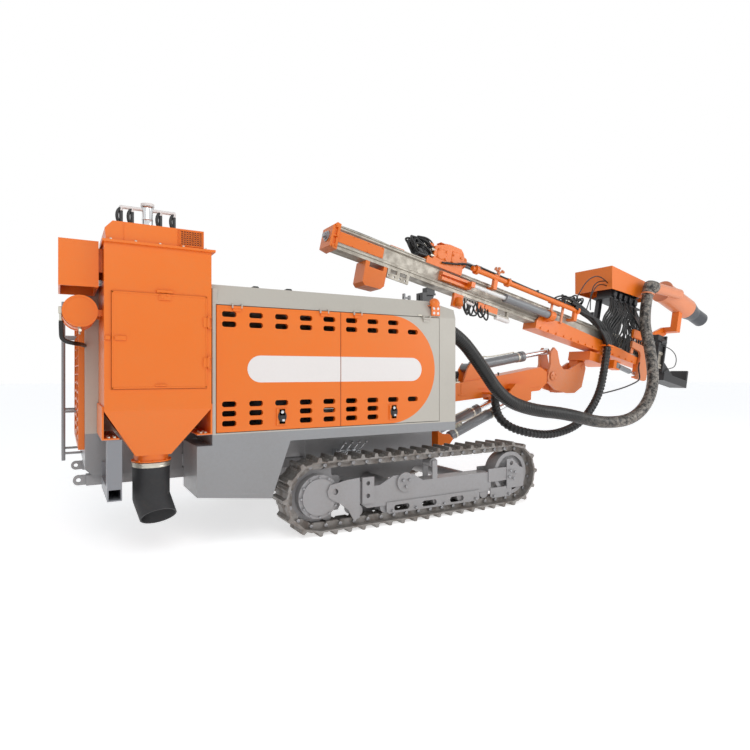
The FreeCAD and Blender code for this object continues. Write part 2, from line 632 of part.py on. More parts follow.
def doors():
    """Two top-hung doors on each side. The front one is orange up to a half-round and grey beyond."""
    y0, y1 = -BODY_HALF, -BODY_HALF + DOOR_T
    z0, z1 = DECK_Z1 + DOOR_GAP + 12, ROOF_EDGE_Z - DOOR_GAP - 1
    rear = box(DOOR_X0 + DOOR_GAP, DOOR_SPLIT - DOOR_GAP / 2, y0, y1, z0, z1)
    front = box(DOOR_SPLIT + DOOR_GAP / 2, DOOR_X1 - DOOR_GAP, y0, y1, z0, z1)
    field = orange_end(y0, y1)
    end = front.cut(field)
    for cut in vents(DOOR_X0, DOOR_SPLIT, y0 - 1, y1 + 1):
        rear = rear.cut(cut)
    for cut in vents(DOOR_SPLIT, DOOR_X1, y0 - 1, y1 + 1):
        field = field.cut(cut)
    for col in LATCH_COLS:
        x = VENT_X0 + col * VENT_PITCH
        latch = box(x - 52, x + 52, y0 - 12, y0, VENT_LOW_Z[2] - 35, VENT_LOW_Z[1] + 30)
        if x < DOOR_SPLIT:
            rear = rear.fuse(latch)
        else:
            field = field.fuse(latch)
    rear = fuse(rear, *door_barrels(DOOR_X0, DOOR_SPLIT, y0, z1))
    for barrel in door_barrels(DOOR_SPLIT, DOOR_X1, y0, z1):
        if field.distToShape(barrel)[0] < 1e-6:
            field = field.fuse(barrel)
        else:
            end = end.fuse(barrel)
    both_sides("door_rear", rear)
    both_sides("door_front", field.removeSplitter())
    both_sides("door_front_end", end)


def engine():
    """Engine and compressor as one plain block."""
    put("engine_block", box(700, 2500, -480, 480, DECK_Z1, 1900))


# Dust collector

def dust_collector():
    x0, x1, y0, y1, z0, z1 = DUST_X0, DUST_X1, DUST_Y0, DUST_Y1, DUST_Z0, DUST_Z1
    case = box(x0, x1, y0, y1, z0, z1)
    hollow = box(x0 + DUST_WALL, x1 - DUST_WALL, y0 + DUST_WALL + DUST_DOOR_T, y1 - DUST_WALL, z0 + DUST_WALL, z1 - 130)
    case = case.cut(hollow)
    hole = box(DUST_DOOR_X0, DUST_DOOR_X1, y0 - 1, y0 + DUST_WALL + DUST_DOOR_T + 1, DUST_DOOR_Z0, DUST_DOOR_Z1)
    case = case.cut(hole)
    lip = box(x0 - 14, x1 + 30, y0 - 22, y1 + 10, z1 - 12, z1 + 8)
    gap = DOOR_GAP / 2
    door = box(DUST_DOOR_X0 + gap, DUST_DOOR_X1 - gap, y0 - 12, y0 + DUST_DOOR_T - 12,
               DUST_DOOR_Z0 + gap, DUST_DOOR_Z1 - gap)
    hinge_x, hinge_y = DUST_DOOR_X1 + 6, y0 - 18
    lugs = []
    for z in DUST_HINGE_Z:
        barrel = rod((hinge_x, hinge_y, z - 40), (0, 0, 1), HINGE_R, 80)
        leaf = box(hinge_x - 40, hinge_x, hinge_y - 3, y0 - 10, z - 40, z + 40)
        bore = rod((hinge_x, hinge_y, z - 60), (0, 0, 1), HINGE_PIN_R + PIN_FIT, 120)
        door = door.fuse(fuse(barrel, leaf).cut(bore))
        for low in (z - 50.5, z + 40.5):
            lugs.append(box(hinge_x - 4, hinge_x + 26, hinge_y - HINGE_R, y0 + 2, low, low + 10))
        lugs.append(rod((hinge_x, hinge_y, z - 50), (0, 0, 1), HINGE_PIN_R, 100))
    put("dust_door", door.removeSplitter())
    put("dust_case", fuse(case, lip, *lugs))
    bottom = Part.makePolygon([Vector(x, y, z0) for x, y in ((x0, y0), (x1, y0), (x1, y1), (x0, y1), (x0, y0))])
    mid_y = (y0 + y1) / 2 - 120
    k = HOPPER_OUT_R
    top = Part.makePolygon([Vector(x, y, HOPPER_OUT_Z) for x, y in (
        (HOPPER_OUT_X - k, mid_y - k), (HOPPER_OUT_X + k, mid_y - k), (HOPPER_OUT_X + k, mid_y + k),
        (HOPPER_OUT_X - k, mid_y + k), (HOPPER_OUT_X - k, mid_y - k))])
    hopper = Part.makeLoft([bottom, top], True, True)
    collar = rod((HOPPER_OUT_X, mid_y, HOPPER_OUT_Z - 60), (0, 0, 1), HOPPER_OUT_R, 62)
    put("dust_hopper", fuse(hopper, collar))
    return mid_y


def dust_cover():
    z = DUST_Z1 + 8
    cover = plate_xz([(DUST_X0 + 13, z), (DUST_X0 + 5, z + 90), (DUST_X0 + 60, z + 150), (DUST_X1 - 62, z + 150),
                      (DUST_X1 - 62, z)], DUST_Y0 + 5, DUST_Y1 - 10)
    put("dust_cover", cover)
    put("pulse_valves", pulse_valves(z + 150))


def pulse_valves(z):
    """The air tank that shakes the filters clean, with two pipes that arch to the valve sockets."""
    y, tank_x, pipe_z = -950, 645, z + 195
    tank = rod((tank_x, y, z + SEAT), (0, 0, 1), 42, 225)
    cap = rod((tank_x, y, z + 225), (0, 0, 1), 54, 20)
    bars = [rod((x0, y, pipe_z), (1, 0, 0), 15, x1 - x0) for x0, x1 in ((440, 640), (650, 860))]
    legs = [rod((x, y, z + SEAT), (0, 0, 1), 15, pipe_z - z - SEAT) for x in (440, 525, 749, 860)]
    knees = [sphere((x, y, pipe_z), 15) for x in (440, 860)]
    return fuse(tank, cap, *bars, *legs, *knees)


def spout(mid_y):
    """The rubber outlet under the hopper, bent to the front and cut on the slant."""
    top = HOPPER_OUT_Z - 60
    bend_z = 520.0
    a = Vector(HOPPER_OUT_X, mid_y, top)
    b = Vector(HOPPER_OUT_X, mid_y, bend_z)
    lean = math.radians(18)
    tail = Vector(math.sin(lean), 0, -math.cos(lean))
    outer = fuse(Part.makeCylinder(SPOUT_R, (b - a).Length, a, b - a),
                 Part.makeSphere(SPOUT_R, b), Part.makeCylinder(SPOUT_R, 290, b, tail))
    inner = fuse(Part.makeCylinder(SPOUT_R - 12, (b - a).Length + 1, a + Vector(0, 0, 1), b - a),
                 Part.makeSphere(SPOUT_R - 12, b), Part.makeCylinder(SPOUT_R - 12, 320, b, tail))
    tube = outer.cut(inner)
    cut = Part.makeBox(900, 900, 400, Vector(-450, -450, -400))
    cut.rotate(Vector(0, 0, 0), Vector(1, 0, 0), -32)
    cut.rotate(Vector(0, 0, 0), Vector(0, 1, 0), -8)
    cut.translate(Vector(HOPPER_OUT_X + 70, mid_y, 345))
    tube = tube.cut(cut)
    put("dust_spout", *tube.Solids)


def dust_supports():
    """Trays at both ends of the hopper, and the leg and square cross tube that carry them."""
    y0, y1 = DUST_Y0 + 30, DUST_Y1 - 10
    t = 14
    low, top = HOPPER_TRAY_Z, HOPPER_TRAY_Z + 250
    rear = fuse(box(DUST_X0 - SEAT - t, DUST_X0 - SEAT, y0, y1, low, top),
                box(DUST_X0 - SEAT - t, DUST_X0 + 110, y0, y1, low - t, low))
    front = fuse(box(DUST_X1 + SEAT, DUST_X1 + SEAT + t, y0, y1, low, top),
                 box(DUST_X1 - 110, DUST_X1 + SEAT + t, y0, y1, low - t, low))
    leg = box(DUST_X0 + 24, DUST_X0 + 130, y0 + 5, y0 + 150, LEG_Z0 + 40, low - t)
    tube = box(DUST_X0 + 24, DUST_X0 + 130, y0 + 5, DUST_Y1, LEG_Z0, LEG_Z0 + 100)
    tube = tube.cut(box(DUST_X0 + 34, DUST_X0 + 120, y0, DUST_Y1 + 1, LEG_Z0 + 10, LEG_Z0 + 90))
    hanger = box(DUST_X0 + 24, DUST_X0 + 130, DUST_Y1 - 16, DUST_Y1, LEG_Z0, BASE_Z0 + 120)
    back = box(DUST_X1 - 100, DUST_X1 - 20, y1 - 40, DUST_Y1, BASE_Z0 + 20, low - t)
    put("dust_stand", fuse(rear, leg.cut(box(DUST_X0 + 34, DUST_X0 + 120, y0, y0 + 200, LEG_Z0, LEG_Z0 + 90)), tube, hanger),
        fuse(front, back))


def rear_fittings():
    """Lamp box and air tank behind the dust collector, and the ladder on the rear wall."""
    y0, y1 = REAR_BOX_Y0, REAR_BOX_Y1
    case = box(REAR_BOX_X0, REAR_BOX_X1, y0, y1, REAR_BOX_Z0, REAR_BOX_Z1)
    hollow = box(REAR_BOX_X0 + 14, REAR_BOX_X1 - 14, y0 + 14, y1 - 14, REAR_BOX_Z0 - 1, REAR_BOX_Z1 - 14)
    arms = [box(REAR_BOX_X1 - 1, DUST_X0 - SEAT, y, y + 14, REAR_BOX_Z0 + 130, REAR_BOX_Z1 - 40) for y in (y0 + 80, y1 - 90)]
    put("rear_box", fuse(case.cut(hollow), *arms))
    tank = rod((TANK_X, TANK_Y0, TANK_Z), (0, 1, 0), TANK_R, TANK_LEN)
    rim = rod((TANK_X, TANK_Y0 - 8, TANK_Z), (0, 1, 0), TANK_R + 4, 16)
    dish = rod((TANK_X, TANK_Y0 - 9, TANK_Z), (0, 1, 0), TANK_R - 12, 5)
    straps = []
    for y in (TANK_Y0 + 90, TANK_Y0 + TANK_LEN - 130):
        straps.append(box(TANK_X, DUST_X0 - SEAT, y, y + 40, TANK_Z - 26, TANK_Z + 26))
        straps.append(rod((TANK_X, y, TANK_Z), (0, 1, 0), TANK_R + 6, 40))
    put("air_tank", fuse(tank, rim, *straps).cut(dish))
    pieces = []
    for y in (LADDER_Y0, LADDER_Y1):
        pieces.append(rod((LADDER_X, y, 690), (0, 0, 1), 17, 1560))
        for z in (760, 1170, 1907):
            pieces.append(rod((LADDER_X, y, z), (1, 0, 0), 12, BODY_X0 - 50 - SEAT - LADDER_X if z > 1000 else BODY_X0 - SEAT - LADDER_X))
    pieces += [rod((LADDER_X, LADDER_Y0, z), (0, 1, 0), 13, LADDER_Y1 - LADDER_Y0) for z in range(780, 2200, 280)]
    put("ladder", fuse(*pieces))


def skirt():
    """The tank under the deck on each side behind the track."""
    shape = plate_xz([(1001, 498), (1659, 419), (1836, DECK_Z0), (1001, DECK_Z0)], -BODY_HALF, -620)
    put_pair("side_tanks", shape)


def build_body():
    put("chassis", chassis())
    put("rear_base", rear_base())
    put("deck", deck())
    hood_panels()
    put("rear_grille", rear_grille())
    doors()
    engine()
    mid_y = dust_collector()
    dust_cover()
    spout(mid_y)
    dust_supports()
    rear_fittings()
    skirt()


# Boom

def swing_post():
    """Bracket that swings on the front of the chassis and carries the boom and both lift cylinders."""
    z0, z1 = KING_Z0 + LUG_T + CLEAR, KING_Z1 - LUG_T - CLEAR
    post = rod((SWING_X, BOOM_Y, z0), (0, 0, 1), 105, z1 - z0)
    y0, y1 = BOOM_Y - BOOM_HALF - CLEAR, BOOM_Y + BOOM_HALF + CLEAR
    cheeks = []
    for side in (y0 - 40, y1):
        cheeks.append(plate_xz([(SWING_X, 1130), (FOOT_X, FOOT_Z - 90), (FOOT_X + 90, FOOT_Z),
                                (FOOT_X, FOOT_Z + 90), (SWING_X, 1420)], side, side + 40))
    web = plate_xz([(SWING_X - 60, 1100), (SWING_X + 95, 1100), (SWING_X + 95, 1420), (SWING_X - 60, 1420)],
                   y0 - 40, y1 + 40)
    gap = BARREL_R + CLEAR
    reach = LIFT_OUT_Y + gap + 30
    low = plate_xz([(SWING_X, 600), (LIFT_BASE_X - 110, 640), (LIFT_BASE_X - 110, 780), (SWING_X, 820)],
                   BOOM_Y - reach, BOOM_Y + reach)
    pieces = [post, web, low] + cheeks
    for side in (-1, 1):
        mid = BOOM_Y + side * LIFT_OUT_Y
        for y in (mid - gap - 30, mid + gap):
            pieces.append(plate_xz([(LIFT_BASE_X - 130, 640), (LIFT_BASE_X, 640), (LIFT_BASE_X + 60, LIFT_BASE_Z),
                                    (LIFT_BASE_X, 770), (LIFT_BASE_X - 130, 780)], y, y + 30))
        pieces.append(cross_pin(LIFT_BASE_X, mid - gap - 30, mid + gap + 30, LIFT_BASE_Z, PIN_R))
    pieces.append(cross_pin(FOOT_X, y0 - 52, y1 + 52, FOOT_Z, PIN_R))
    whole = fuse(*pieces)
    for z in (z0 - 1, z1 - 40):
        whole = whole.cut(rod((SWING_X, BOOM_Y, z), (0, 0, 1), KING_R + PIN_FIT, 41))
    return whole


def front_frame():
    """The chassis nose with the two lugs that hold the swing post's king pin."""
    nose_x = CHASSIS_X1 + 70
    lower = box(CHASSIS_X1 + 0.5, nose_x, BOOM_Y - 260, BOOM_Y + 260, KING_Z0, CHASSIS_Z1 + 2)
    upper = box(BODY_X1 + 0.5, nose_x, BOOM_Y - 240, BOOM_Y + 240, CHASSIS_Z1 + 0.5, KING_Z1)
    lugs = []
    for z in (KING_Z0, KING_Z1 - LUG_T):
        lugs.append(plate_xy([(nose_x - 10, BOOM_Y - 220), (SWING_X, BOOM_Y - 110), (SWING_X + 90, BOOM_Y),
                              (SWING_X, BOOM_Y + 110), (nose_x - 10, BOOM_Y + 220)], z, z + LUG_T))
    stubs = [rod((SWING_X, BOOM_Y, KING_Z0), (0, 0, 1), KING_R, LUG_T + 40),
             rod((SWING_X, BOOM_Y, KING_Z1 - LUG_T - 40), (0, 0, 1), KING_R, LUG_T + 40)]
    return fuse(lower, upper, *lugs, *stubs)


def boom():
    y0, y1 = BOOM_Y - BOOM_HALF, BOOM_Y + BOOM_HALF
    body = plate_xz([(FOOT_X - 60, FOOT_Z - 85), (4480, 1170), (5300, 1235), (6050, 1290), (6200, 1400),
                     (6200, 1560), (6080, 1630), (5230, 1500), (FOOT_X - 60, FOOT_Z + 90)], y0, y1)
    eye = cross_pin(TIP_X, BOOM_Y - 80, BOOM_Y + 80, TIP_Z, 112)
    neck = plate_xz([(6150, 1395), (TIP_X, TIP_Z - 105), (TIP_X, TIP_Z + 105), (6150, 1575)], BOOM_Y - 80, BOOM_Y + 80)
    foot = cross_pin(FOOT_X, y0, y1, FOOT_Z, 95)
    lug = []
    for side in (-1, 1):
        mid = BOOM_Y + side * LIFT_OUT_Y
        inner = BOOM_Y + side * BOOM_HALF
        gap = ROD_R + 4 + CLEAR
        cheek_in = sorted((inner - side * 20, mid - side * gap))
        cheek_out = sorted((mid + side * gap, mid + side * (gap + 30)))
        outline = [(5300, 1250), (5330, 1160), (5600, 1130), (LIFT_EYE_X + 80, 1170), (LIFT_EYE_X + 90, 1330),
                   (5450, 1400)]
        lug.append(plate_xz(outline, *cheek_in))
        lug.append(plate_xz(outline, *cheek_out))
        top = sorted((inner - side * 20, mid + side * (gap + 30)))
        lug.append(plate_xz([(5380, 1330), (LIFT_EYE_X + 88, 1330), (5700, 1390), (5450, 1400)], *top))
    ears = []
    ear_gap = TILT_BARREL_R + CLEAR
    for y in (BOOM_Y - ear_gap - 30, BOOM_Y + ear_gap):
        ears.append(plate_xz([(4640, 1380), (4740, 1600), (EAR_X, EAR_Z + 60), (EAR_X + 70, EAR_Z), (5080, 1460),
                              (5080, 1420)], y, y + 30))
    pin = cross_pin(EAR_X, BOOM_Y - ear_gap - 30, BOOM_Y + ear_gap + 30, EAR_Z, PIN_R)
    x, z = BOOM_BULKHEAD_X, BOOM_BULKHEAD_Z
    shelf = box(x - 70, x + 70, BOOM_Y - BOOM_HALF - 240, y0 + 2, z, z + 24)
    whole = fuse(body, eye, neck, foot, pin, shelf, *lug, *ears)
    bore = cross_pin(FOOT_X, y0 - 1, y1 + 1, FOOT_Z, PIN_R + PIN_FIT)
    tip_bore = cross_pin(TIP_X, y0 - 1, y1 + 1, TIP_Z, PIN_R + PIN_FIT)
    return whole.cut(bore).cut(tip_bore)


def cylinder_barrel(base, eye, y, radius, rod_radius, base_r, length, width):
    """A barrel from its base eye towards the rod's eye, open at the gland."""
    a, b = Vector(base[0], y, base[1]), Vector(eye[0], y, eye[1])
    d = (b - a).normalize()
    start = a + d * (base_r + 20)
    tube = Part.makeCylinder(radius, length, start, d)
    gland = Part.makeCylinder(radius + 9, 60, start + d * (length - 60), d)
    lug = rod((base[0], y - width / 2, base[1]), (0, 1, 0), base_r, width)
    neck = Part.makeCylinder(radius * 0.75, base_r + 30, a, d)
    whole = fuse(tube, gland, lug, neck)
    bore = Part.makeCylinder(rod_radius + 0.4, length, start + d * 60, d)
    pin = rod((base[0], y - width, base[1]), (0, 1, 0), PIN_R + PIN_FIT, 2 * width)
    return whole.cut(bore).cut(pin)


def cylinder_rod(base, eye, y, rod_radius, start_from, eye_r, width):
    a, b = Vector(base[0], y, base[1]), Vector(eye[0], y, eye[1])
    d = (b - a).normalize()
    start = a + d * start_from
    shaft = Part.makeCylinder(rod_radius, (b - start).Length, start, d)
    lug = rod((eye[0], y - width / 2, eye[1]), (0, 1, 0), eye_r, width)
    return fuse(shaft, lug)


def boom_head():
    """Two plates that keep their attitude while the boom lifts: tip pin, upper pin and feed pin."""
    px, pz = feed_point(PIN_UP_U, PIN_UP_W)
    sx, sz = feed_point(TILT_U, TILT_W)
    outline = [(TIP_X - 110, TIP_Z - 10), (TIP_X - 90, TIP_Z - 90), (TIP_X + 60, TIP_Z - 200), (6640, 1240),
               (6800, 1240), (6960, 1330), (sx + 70, sz - 20), (sx + 40, sz + 75), (sx - 60, sz + 75),
               (6700, 1600), (6560, 1600), (6480, 1680), (px + 68, pz), (px, pz + 55), (px - 68, pz - 20),
               (TIP_X - 40, TIP_Z + 180)]
    out = []
    for side in (-1, 1):
        y = BOOM_Y + side * (80 + CLEAR)
        low, high = sorted((y, y + side * HEAD_PLATE_T))
        out.append(plate_xz(outline, low, high))
    half = 80 + CLEAR
    out.append(cross_pin(TIP_X, BOOM_Y - half - 52, BOOM_Y + half + 52, TIP_Z, PIN_R))
    out.append(cross_pin(sx, BOOM_Y - half - 52, BOOM_Y + half + 52, sz, PIN_R))
    out.append(box(6500, 6780, BOOM_Y - half - 5, BOOM_Y + half + 5, 1250, 1400))
    return fuse(*out)


# Feed and what carries it, built along u, v, w

def tilt_bracket():
    """Casting between the head and the cradle, with the round swing bearing on top."""
    lug = Part.makeCylinder(85, 160, Vector(TILT_U, BOOM_Y - FEED_Y - 80, TILT_W), Vector(0, 1, 0))
    neck = box(TILT_U - 80, TILT_U + 80, BOOM_Y - FEED_Y - 80, BOOM_Y - FEED_Y + 80, TILT_W, TILT_W + 110)
    block = box(TILT_U - 110, SWING_U + 200, -115, BOOM_Y - FEED_Y + 80, TILT_W + 90, -CRADLE_T - 40)
    disc = rod((SWING_U, 0, -CRADLE_T - 42), (0, 0, 1), SWING_DISC_R, 42 - 0.3)
    king = rod((SWING_U, 0, -CRADLE_T - 42), (0, 0, 1), 60, 42 + 30)
    base_w = SWING_CYL_W
    reach = SWING_CYL_BASE_V - 36
    fork = [box(SWING_CYL_BASE_U - 70, SWING_CYL_BASE_U + 36, reach, -112, low, low + 20)
            for low in (base_w - 40 - CLEAR - 20, base_w + 40 + CLEAR)]
    back = box(SWING_CYL_BASE_U - 110, SWING_CYL_BASE_U - 44, reach, -112, base_w - 66, base_w + 66)
    pin = rod((SWING_CYL_BASE_U, SWING_CYL_BASE_V, base_w - 66), (0, 0, 1), 20, 132)
    noses = [rod((SWING_U + 195, v, -CRADLE_T - 105), (1, 0, 0), 34, 125) for v in (-55, 60)]
    whole = fuse(lug, neck, block, disc, king, back, pin, *fork, *noses)
    bore = Part.makeCylinder(PIN_R + PIN_FIT, 600, Vector(TILT_U, -300, TILT_W), Vector(0, 1, 0))
    return whole.cut(bore)


def cradle():
    """The channel that the feed beam slides in."""
    gap = FEED_HALF + SEAT
    out = gap + CHEEK_T
    base = box(CRADLE_U0, CRADLE_U1, -out, out, -CRADLE_T, -SEAT)
    side = plate_xz([(CRADLE_U0, -CRADLE_T), (CRADLE_U1, -CRADLE_T), (CRADLE_U1, 10), (CRADLE_U1 - 700, 70),
                     (CRADLE_U0 + 500, 130), (CRADLE_U0 + 60, 100), (CRADLE_U0, 30)], 0, CHEEK_T)
    pieces = [base]
    for v in (-out, gap):
        cheek = side.copy()
        cheek.translate(Vector(0, v, 0))
        pieces.append(cheek)
    eye_u, eye_v, eye_w = SWING_CYL_EYE_U, SWING_CYL_EYE_V, SWING_CYL_W
    arm_top, arm_low = eye_w + 30 + CLEAR, eye_w - 30 - CLEAR
    pieces.append(box(eye_u - 50, eye_u + 110, eye_v - 29, eye_v + 40, arm_top, -CRADLE_T + 1))
    pieces.append(box(eye_u + 70, eye_u + 110, eye_v - 29, eye_v + 40, arm_low - 24, -CRADLE_T + 1))
    pieces.append(box(eye_u - 50, eye_u + 110, eye_v - 29, eye_v + 40, arm_low - 24, arm_low))
    pieces.append(box(BULKHEAD_U - 65, BULKHEAD_U + 65, -out - 150, -out + 2, BULKHEAD_W, BULKHEAD_W + 24))
    clamp_u = EXT_BARREL_U1 - 130
    lug = box(clamp_u, clamp_u + 100, EXT_V, -gap - 10, EXT_W - 70, EXT_W + 30)
    clamp = rod((clamp_u, EXT_V, EXT_W), (1, 0, 0), EXT_BARREL_R + 16, 100)
    whole = fuse(*pieces, lug, clamp).cut(rod((clamp_u - 1, EXT_V, EXT_W), (1, 0, 0), EXT_BARREL_R + SEAT, 102))
    return whole.cut(rod((SWING_U, 0, -CRADLE_T - 1), (0, 0, 1), 60 + PIN_FIT, 31.5))


def feed_beam():
    """An I-shaped beam with a grooved rail flange above and below."""
    half, web, low, high = FEED_HALF, FEED_WEB, FEED_RAIL, FEED_H - 52
    right = [(half, 0), (half, 26), (half - 12, 30), (half - 12, 42), (half, 46), (half, low), (web, low + 14),
             (web, high), (half, high + 12), (half, high + 28), (half - 10, high + 31), (half - 10, high + 37),
             (half, high + 40), (half, FEED_H)]
    outline = right + [(-v, w) for v, w in reversed(right)]
    core = box(-1, FEED_LEN + 1, -web + 25, web - 25, low - 30, high)
    return plate_yz(outline, 0, FEED_LEN).cut(core)


def feed_end():
    """The sprocket box that closes the beam's rear, with the plate on the web next to it."""
    cap = plate_xz([(-95, 10), (-SEAT, -8), (-SEAT, FEED_H + 14), (-50, FEED_H + 22), (-95, FEED_H - 25)],
                   -FEED_HALF - 12, FEED_HALF + 75)
    for low, high in ((48, 134), (150, 240)):
        cap = cap.cut(box(-68, -30, -FEED_HALF - 13, -FEED_HALF + 10, low, high))
    web_plate = box(-20, 610, -FEED_WEB - SEAT - 8, -FEED_WEB - SEAT, FEED_RAIL + 22, FEED_H - 58)
    return fuse(cap, web_plate)


def drifter():
    """The rotary head on its sledge, near the rear of the feed."""
    outer = FEED_HALF + SEAT + 14
    sledge = box(1200, 1760, -outer, outer, FEED_H + SEAT, FEED_H + 40)
    claws = [box(1200, 1760, v, v + 14, FEED_H - 38, FEED_H + 40) for v in (-outer, outer - 14)]
    top = FEED_H + 292
    body = plate_xz([(1290, FEED_H + 38), (1760, FEED_H + 38), (1760, FEED_H + 200), (1738, top - 45), (1690, top),
                     (1500, top), (1340, top - 60), (1290, top - 85)], -110, 110)
    gear = rod((1750, 0, DRILL_W), (1, 0, 0), 80, CHUCK_U - 1750)
    return fuse(sledge, body, gear, *claws)


def chuck():
    return rod((CHUCK_U + SEAT, 0, DRILL_W), (1, 0, 0), 42, 260)


def rod_anchor():
    """Double-ribbed bracket on the beam's side that holds the extension cylinder's rod."""
    v0 = -FEED_HALF - SEAT
    u0, u1 = 1440, EXT_ROD_U0 + 20
    plate = box(u0, u1, v0 - 16, -FEED_WEB - SEAT, FEED_RAIL + 20, 205)
    ribs = [plate_xz([(u0, w), (u1, w + 6), (u1, w + 26), (u0, w + 40)], v0 - 60, v0 - 10) for w in (84, 150)]
    lug = box(u1 - 60, u1, EXT_V - 40, v0 - 10, EXT_W - 34, EXT_W + 34)
    return fuse(plate, *ribs, lug)


def extension_cylinder():
    """Slides the whole beam on its cradle: barrel on the cradle, rod on the beam."""
    barrel = rod((EXT_BARREL_U0, EXT_V, EXT_W), (1, 0, 0), EXT_BARREL_R, EXT_BARREL_U1 - EXT_BARREL_U0)
    gland = rod((EXT_BARREL_U0, EXT_V, EXT_W), (1, 0, 0), EXT_BARREL_R + 6, 60)
    bore = rod((EXT_BARREL_U0 - 1, EXT_V, EXT_W), (1, 0, 0), EXT_ROD_R + 0.4, EXT_BARREL_U1 - EXT_BARREL_U0 - 40)
    shaft = rod((EXT_ROD_U0, EXT_V, EXT_W), (1, 0, 0), EXT_ROD_R, EXT_BARREL_U0 - EXT_ROD_U0 + EXT_STROKE + 90)
    return fuse(barrel, gland).cut(bore), fuse(rod_anchor(), shaft)


def hook_bracket():
    """The tall bracket on the near side of the cradle, with the foot that seats on its cheek."""
    v = -FEED_HALF - CHEEK_T - 2
    arm = plate_xz([(5230, 245), (5560, 225), (5650, 190), (5680, 150), (5690, -290), (5640, -315), (5450, -320),
                    (5470, 60), (5440, 120), (5230, 150)], v - 44, v - 4)
    tie = plate_xz([(5490, 15), (5680, 0), (5680, -CRADLE_T), (5490, -CRADLE_T)], v - 10, v + 1.7)
    return fuse(arm, tie)


def swing_cylinder():
    """Between the tilt bracket and the cradle's lug, below the cradle, level with the beam."""
    a = Vector(SWING_CYL_BASE_U, SWING_CYL_BASE_V, SWING_CYL_W)
    b = Vector(SWING_CYL_EYE_U, SWING_CYL_EYE_V, SWING_CYL_W)
    d = (b - a).normalize()
    lug = rod((a.x, a.y, a.z - 40), (0, 0, 1), 38, 80)
    start = a + d * 60
    tube = Part.makeCylinder(SWING_BARREL_R, 360, start, d)
    neck = Part.makeCylinder(26, 70, a, d)
    barrel = fuse(lug, neck, tube).cut(Part.makeCylinder(SWING_ROD_R + 0.4, 330, start + d * 40, d))
    barrel = barrel.cut(rod((a.x, a.y, a.z - 60), (0, 0, 1), 20 + PIN_FIT, 120))
    inner = a + d * 215
    shaft = Part.makeCylinder(SWING_ROD_R, (b - inner).Length, inner, d)
    eye = rod((b.x, b.y, b.z - 30), (0, 0, 1), 34, 60)
    return barrel, fuse(shaft, eye)


def valve_cover():
    """The sheet-metal hood over the feed's valve bank: four slanted walls and a flat top."""
    t = 12
    outer = plate_xz([(COVER_U0 + 78, COVER_W0), (COVER_U1 + 60, COVER_FRONT_W0), (COVER_U1, COVER_W1),
                      (COVER_U0, COVER_W1)], COVER_Y0, COVER_Y1)
    inner = plate_xz([(COVER_U0 + 88, COVER_W0 - 10), (COVER_U1 + 48, COVER_FRONT_W0 - 10),
                      (COVER_U1 - t, COVER_W1 - t), (COVER_U0 + 14, COVER_W1 - t)], COVER_Y0 + t, COVER_Y1 - t)
    return outer.cut(inner)


def valve_stand():
    """Posts on the far side of the cradle with the valve bank between them and the cover."""
    v0 = FEED_HALF + SEAT + CHEEK_T
    under = COVER_W1 - 12 - SEAT
    post_u = (COVER_U0 + 200, COVER_U0 + 715)
    posts = [box(u, u + 70, v0 + 30, v0 + 100, -40, under) for u in post_u]
    feet = [box(u - 20, u + 90, v0 + SEAT, v0 + 100, -40, 0) for u in post_u]
    shelf = box(COVER_U0 + 140, COVER_U1 - 76, -75, v0 + 100, SHELF_W, SHELF_W + 30)
    bank = [box(u, u + 90, -50, v0 + 100, SHELF_W + 29, SHELF_W + 280)
            for u in range(int(post_u[0]), int(COVER_U1) - 180, 130)]
    top = box(post_u[0] - 20, post_u[1] + 90, 20, v0 + 60, under - 48, under)
    return fuse(*posts, *feet, shelf, *bank, top)


def precleaner_axis():
    tilt = math.radians(PRE_TILT)
    return Vector(PRE_U0, PRE_V, PRE_W0), Vector(math.cos(tilt), 0, -math.sin(tilt))


def precleaner():
    """The coarse dust cyclone: inlet elbow, drum, cone and rubber tip."""
    a, d = precleaner_axis()
    drum = Part.makeCylinder(PRE_R, PRE_DRUM, a, d)
    cone = Part.makeCone(PRE_R, PRE_R * 0.7, PRE_CONE, a + d * PRE_DRUM, d)
    tip = Part.makeCylinder(PRE_R * 0.72, PRE_TIP, a + d * (PRE_DRUM + PRE_CONE - 20), d)
    cap = Part.makeCylinder(PRE_R + 12, 22, a - d * 11, d)
    corner = Vector(INLET_U, INLET_V, INLET_W)
    inlet_end = Vector(PRE_U0 + 150, PRE_V - PRE_R - 20, PRE_W0 - 25)
    pipe = Part.makeCylinder(INLET_R, (inlet_end - corner).Length, corner, inlet_end - corner)
    knee = Part.makeSphere(INLET_R, corner)
    foot = duct_end()
    down = Part.makeCylinder(INLET_R, (corner - foot).Length, foot, corner - foot)
    flange = Part.makeCylinder(INLET_R + 14, 18, foot, corner - foot)
    closed = Part.makeCylinder(INLET_R, 8, inlet_end, inlet_end - corner)
    return fuse(drum, cone, tip, cap, pipe, knee, down, flange, closed)


def duct_end(further=0):
    """Where the dust duct meets the cyclone's inlet, in the feed's frame, or a point further down."""
    lean = math.radians(INLET_LEAN)
    corner = Vector(INLET_U, INLET_V, INLET_W)
    return corner - Vector(math.sin(lean), 0, math.cos(lean)) * (150 + further)


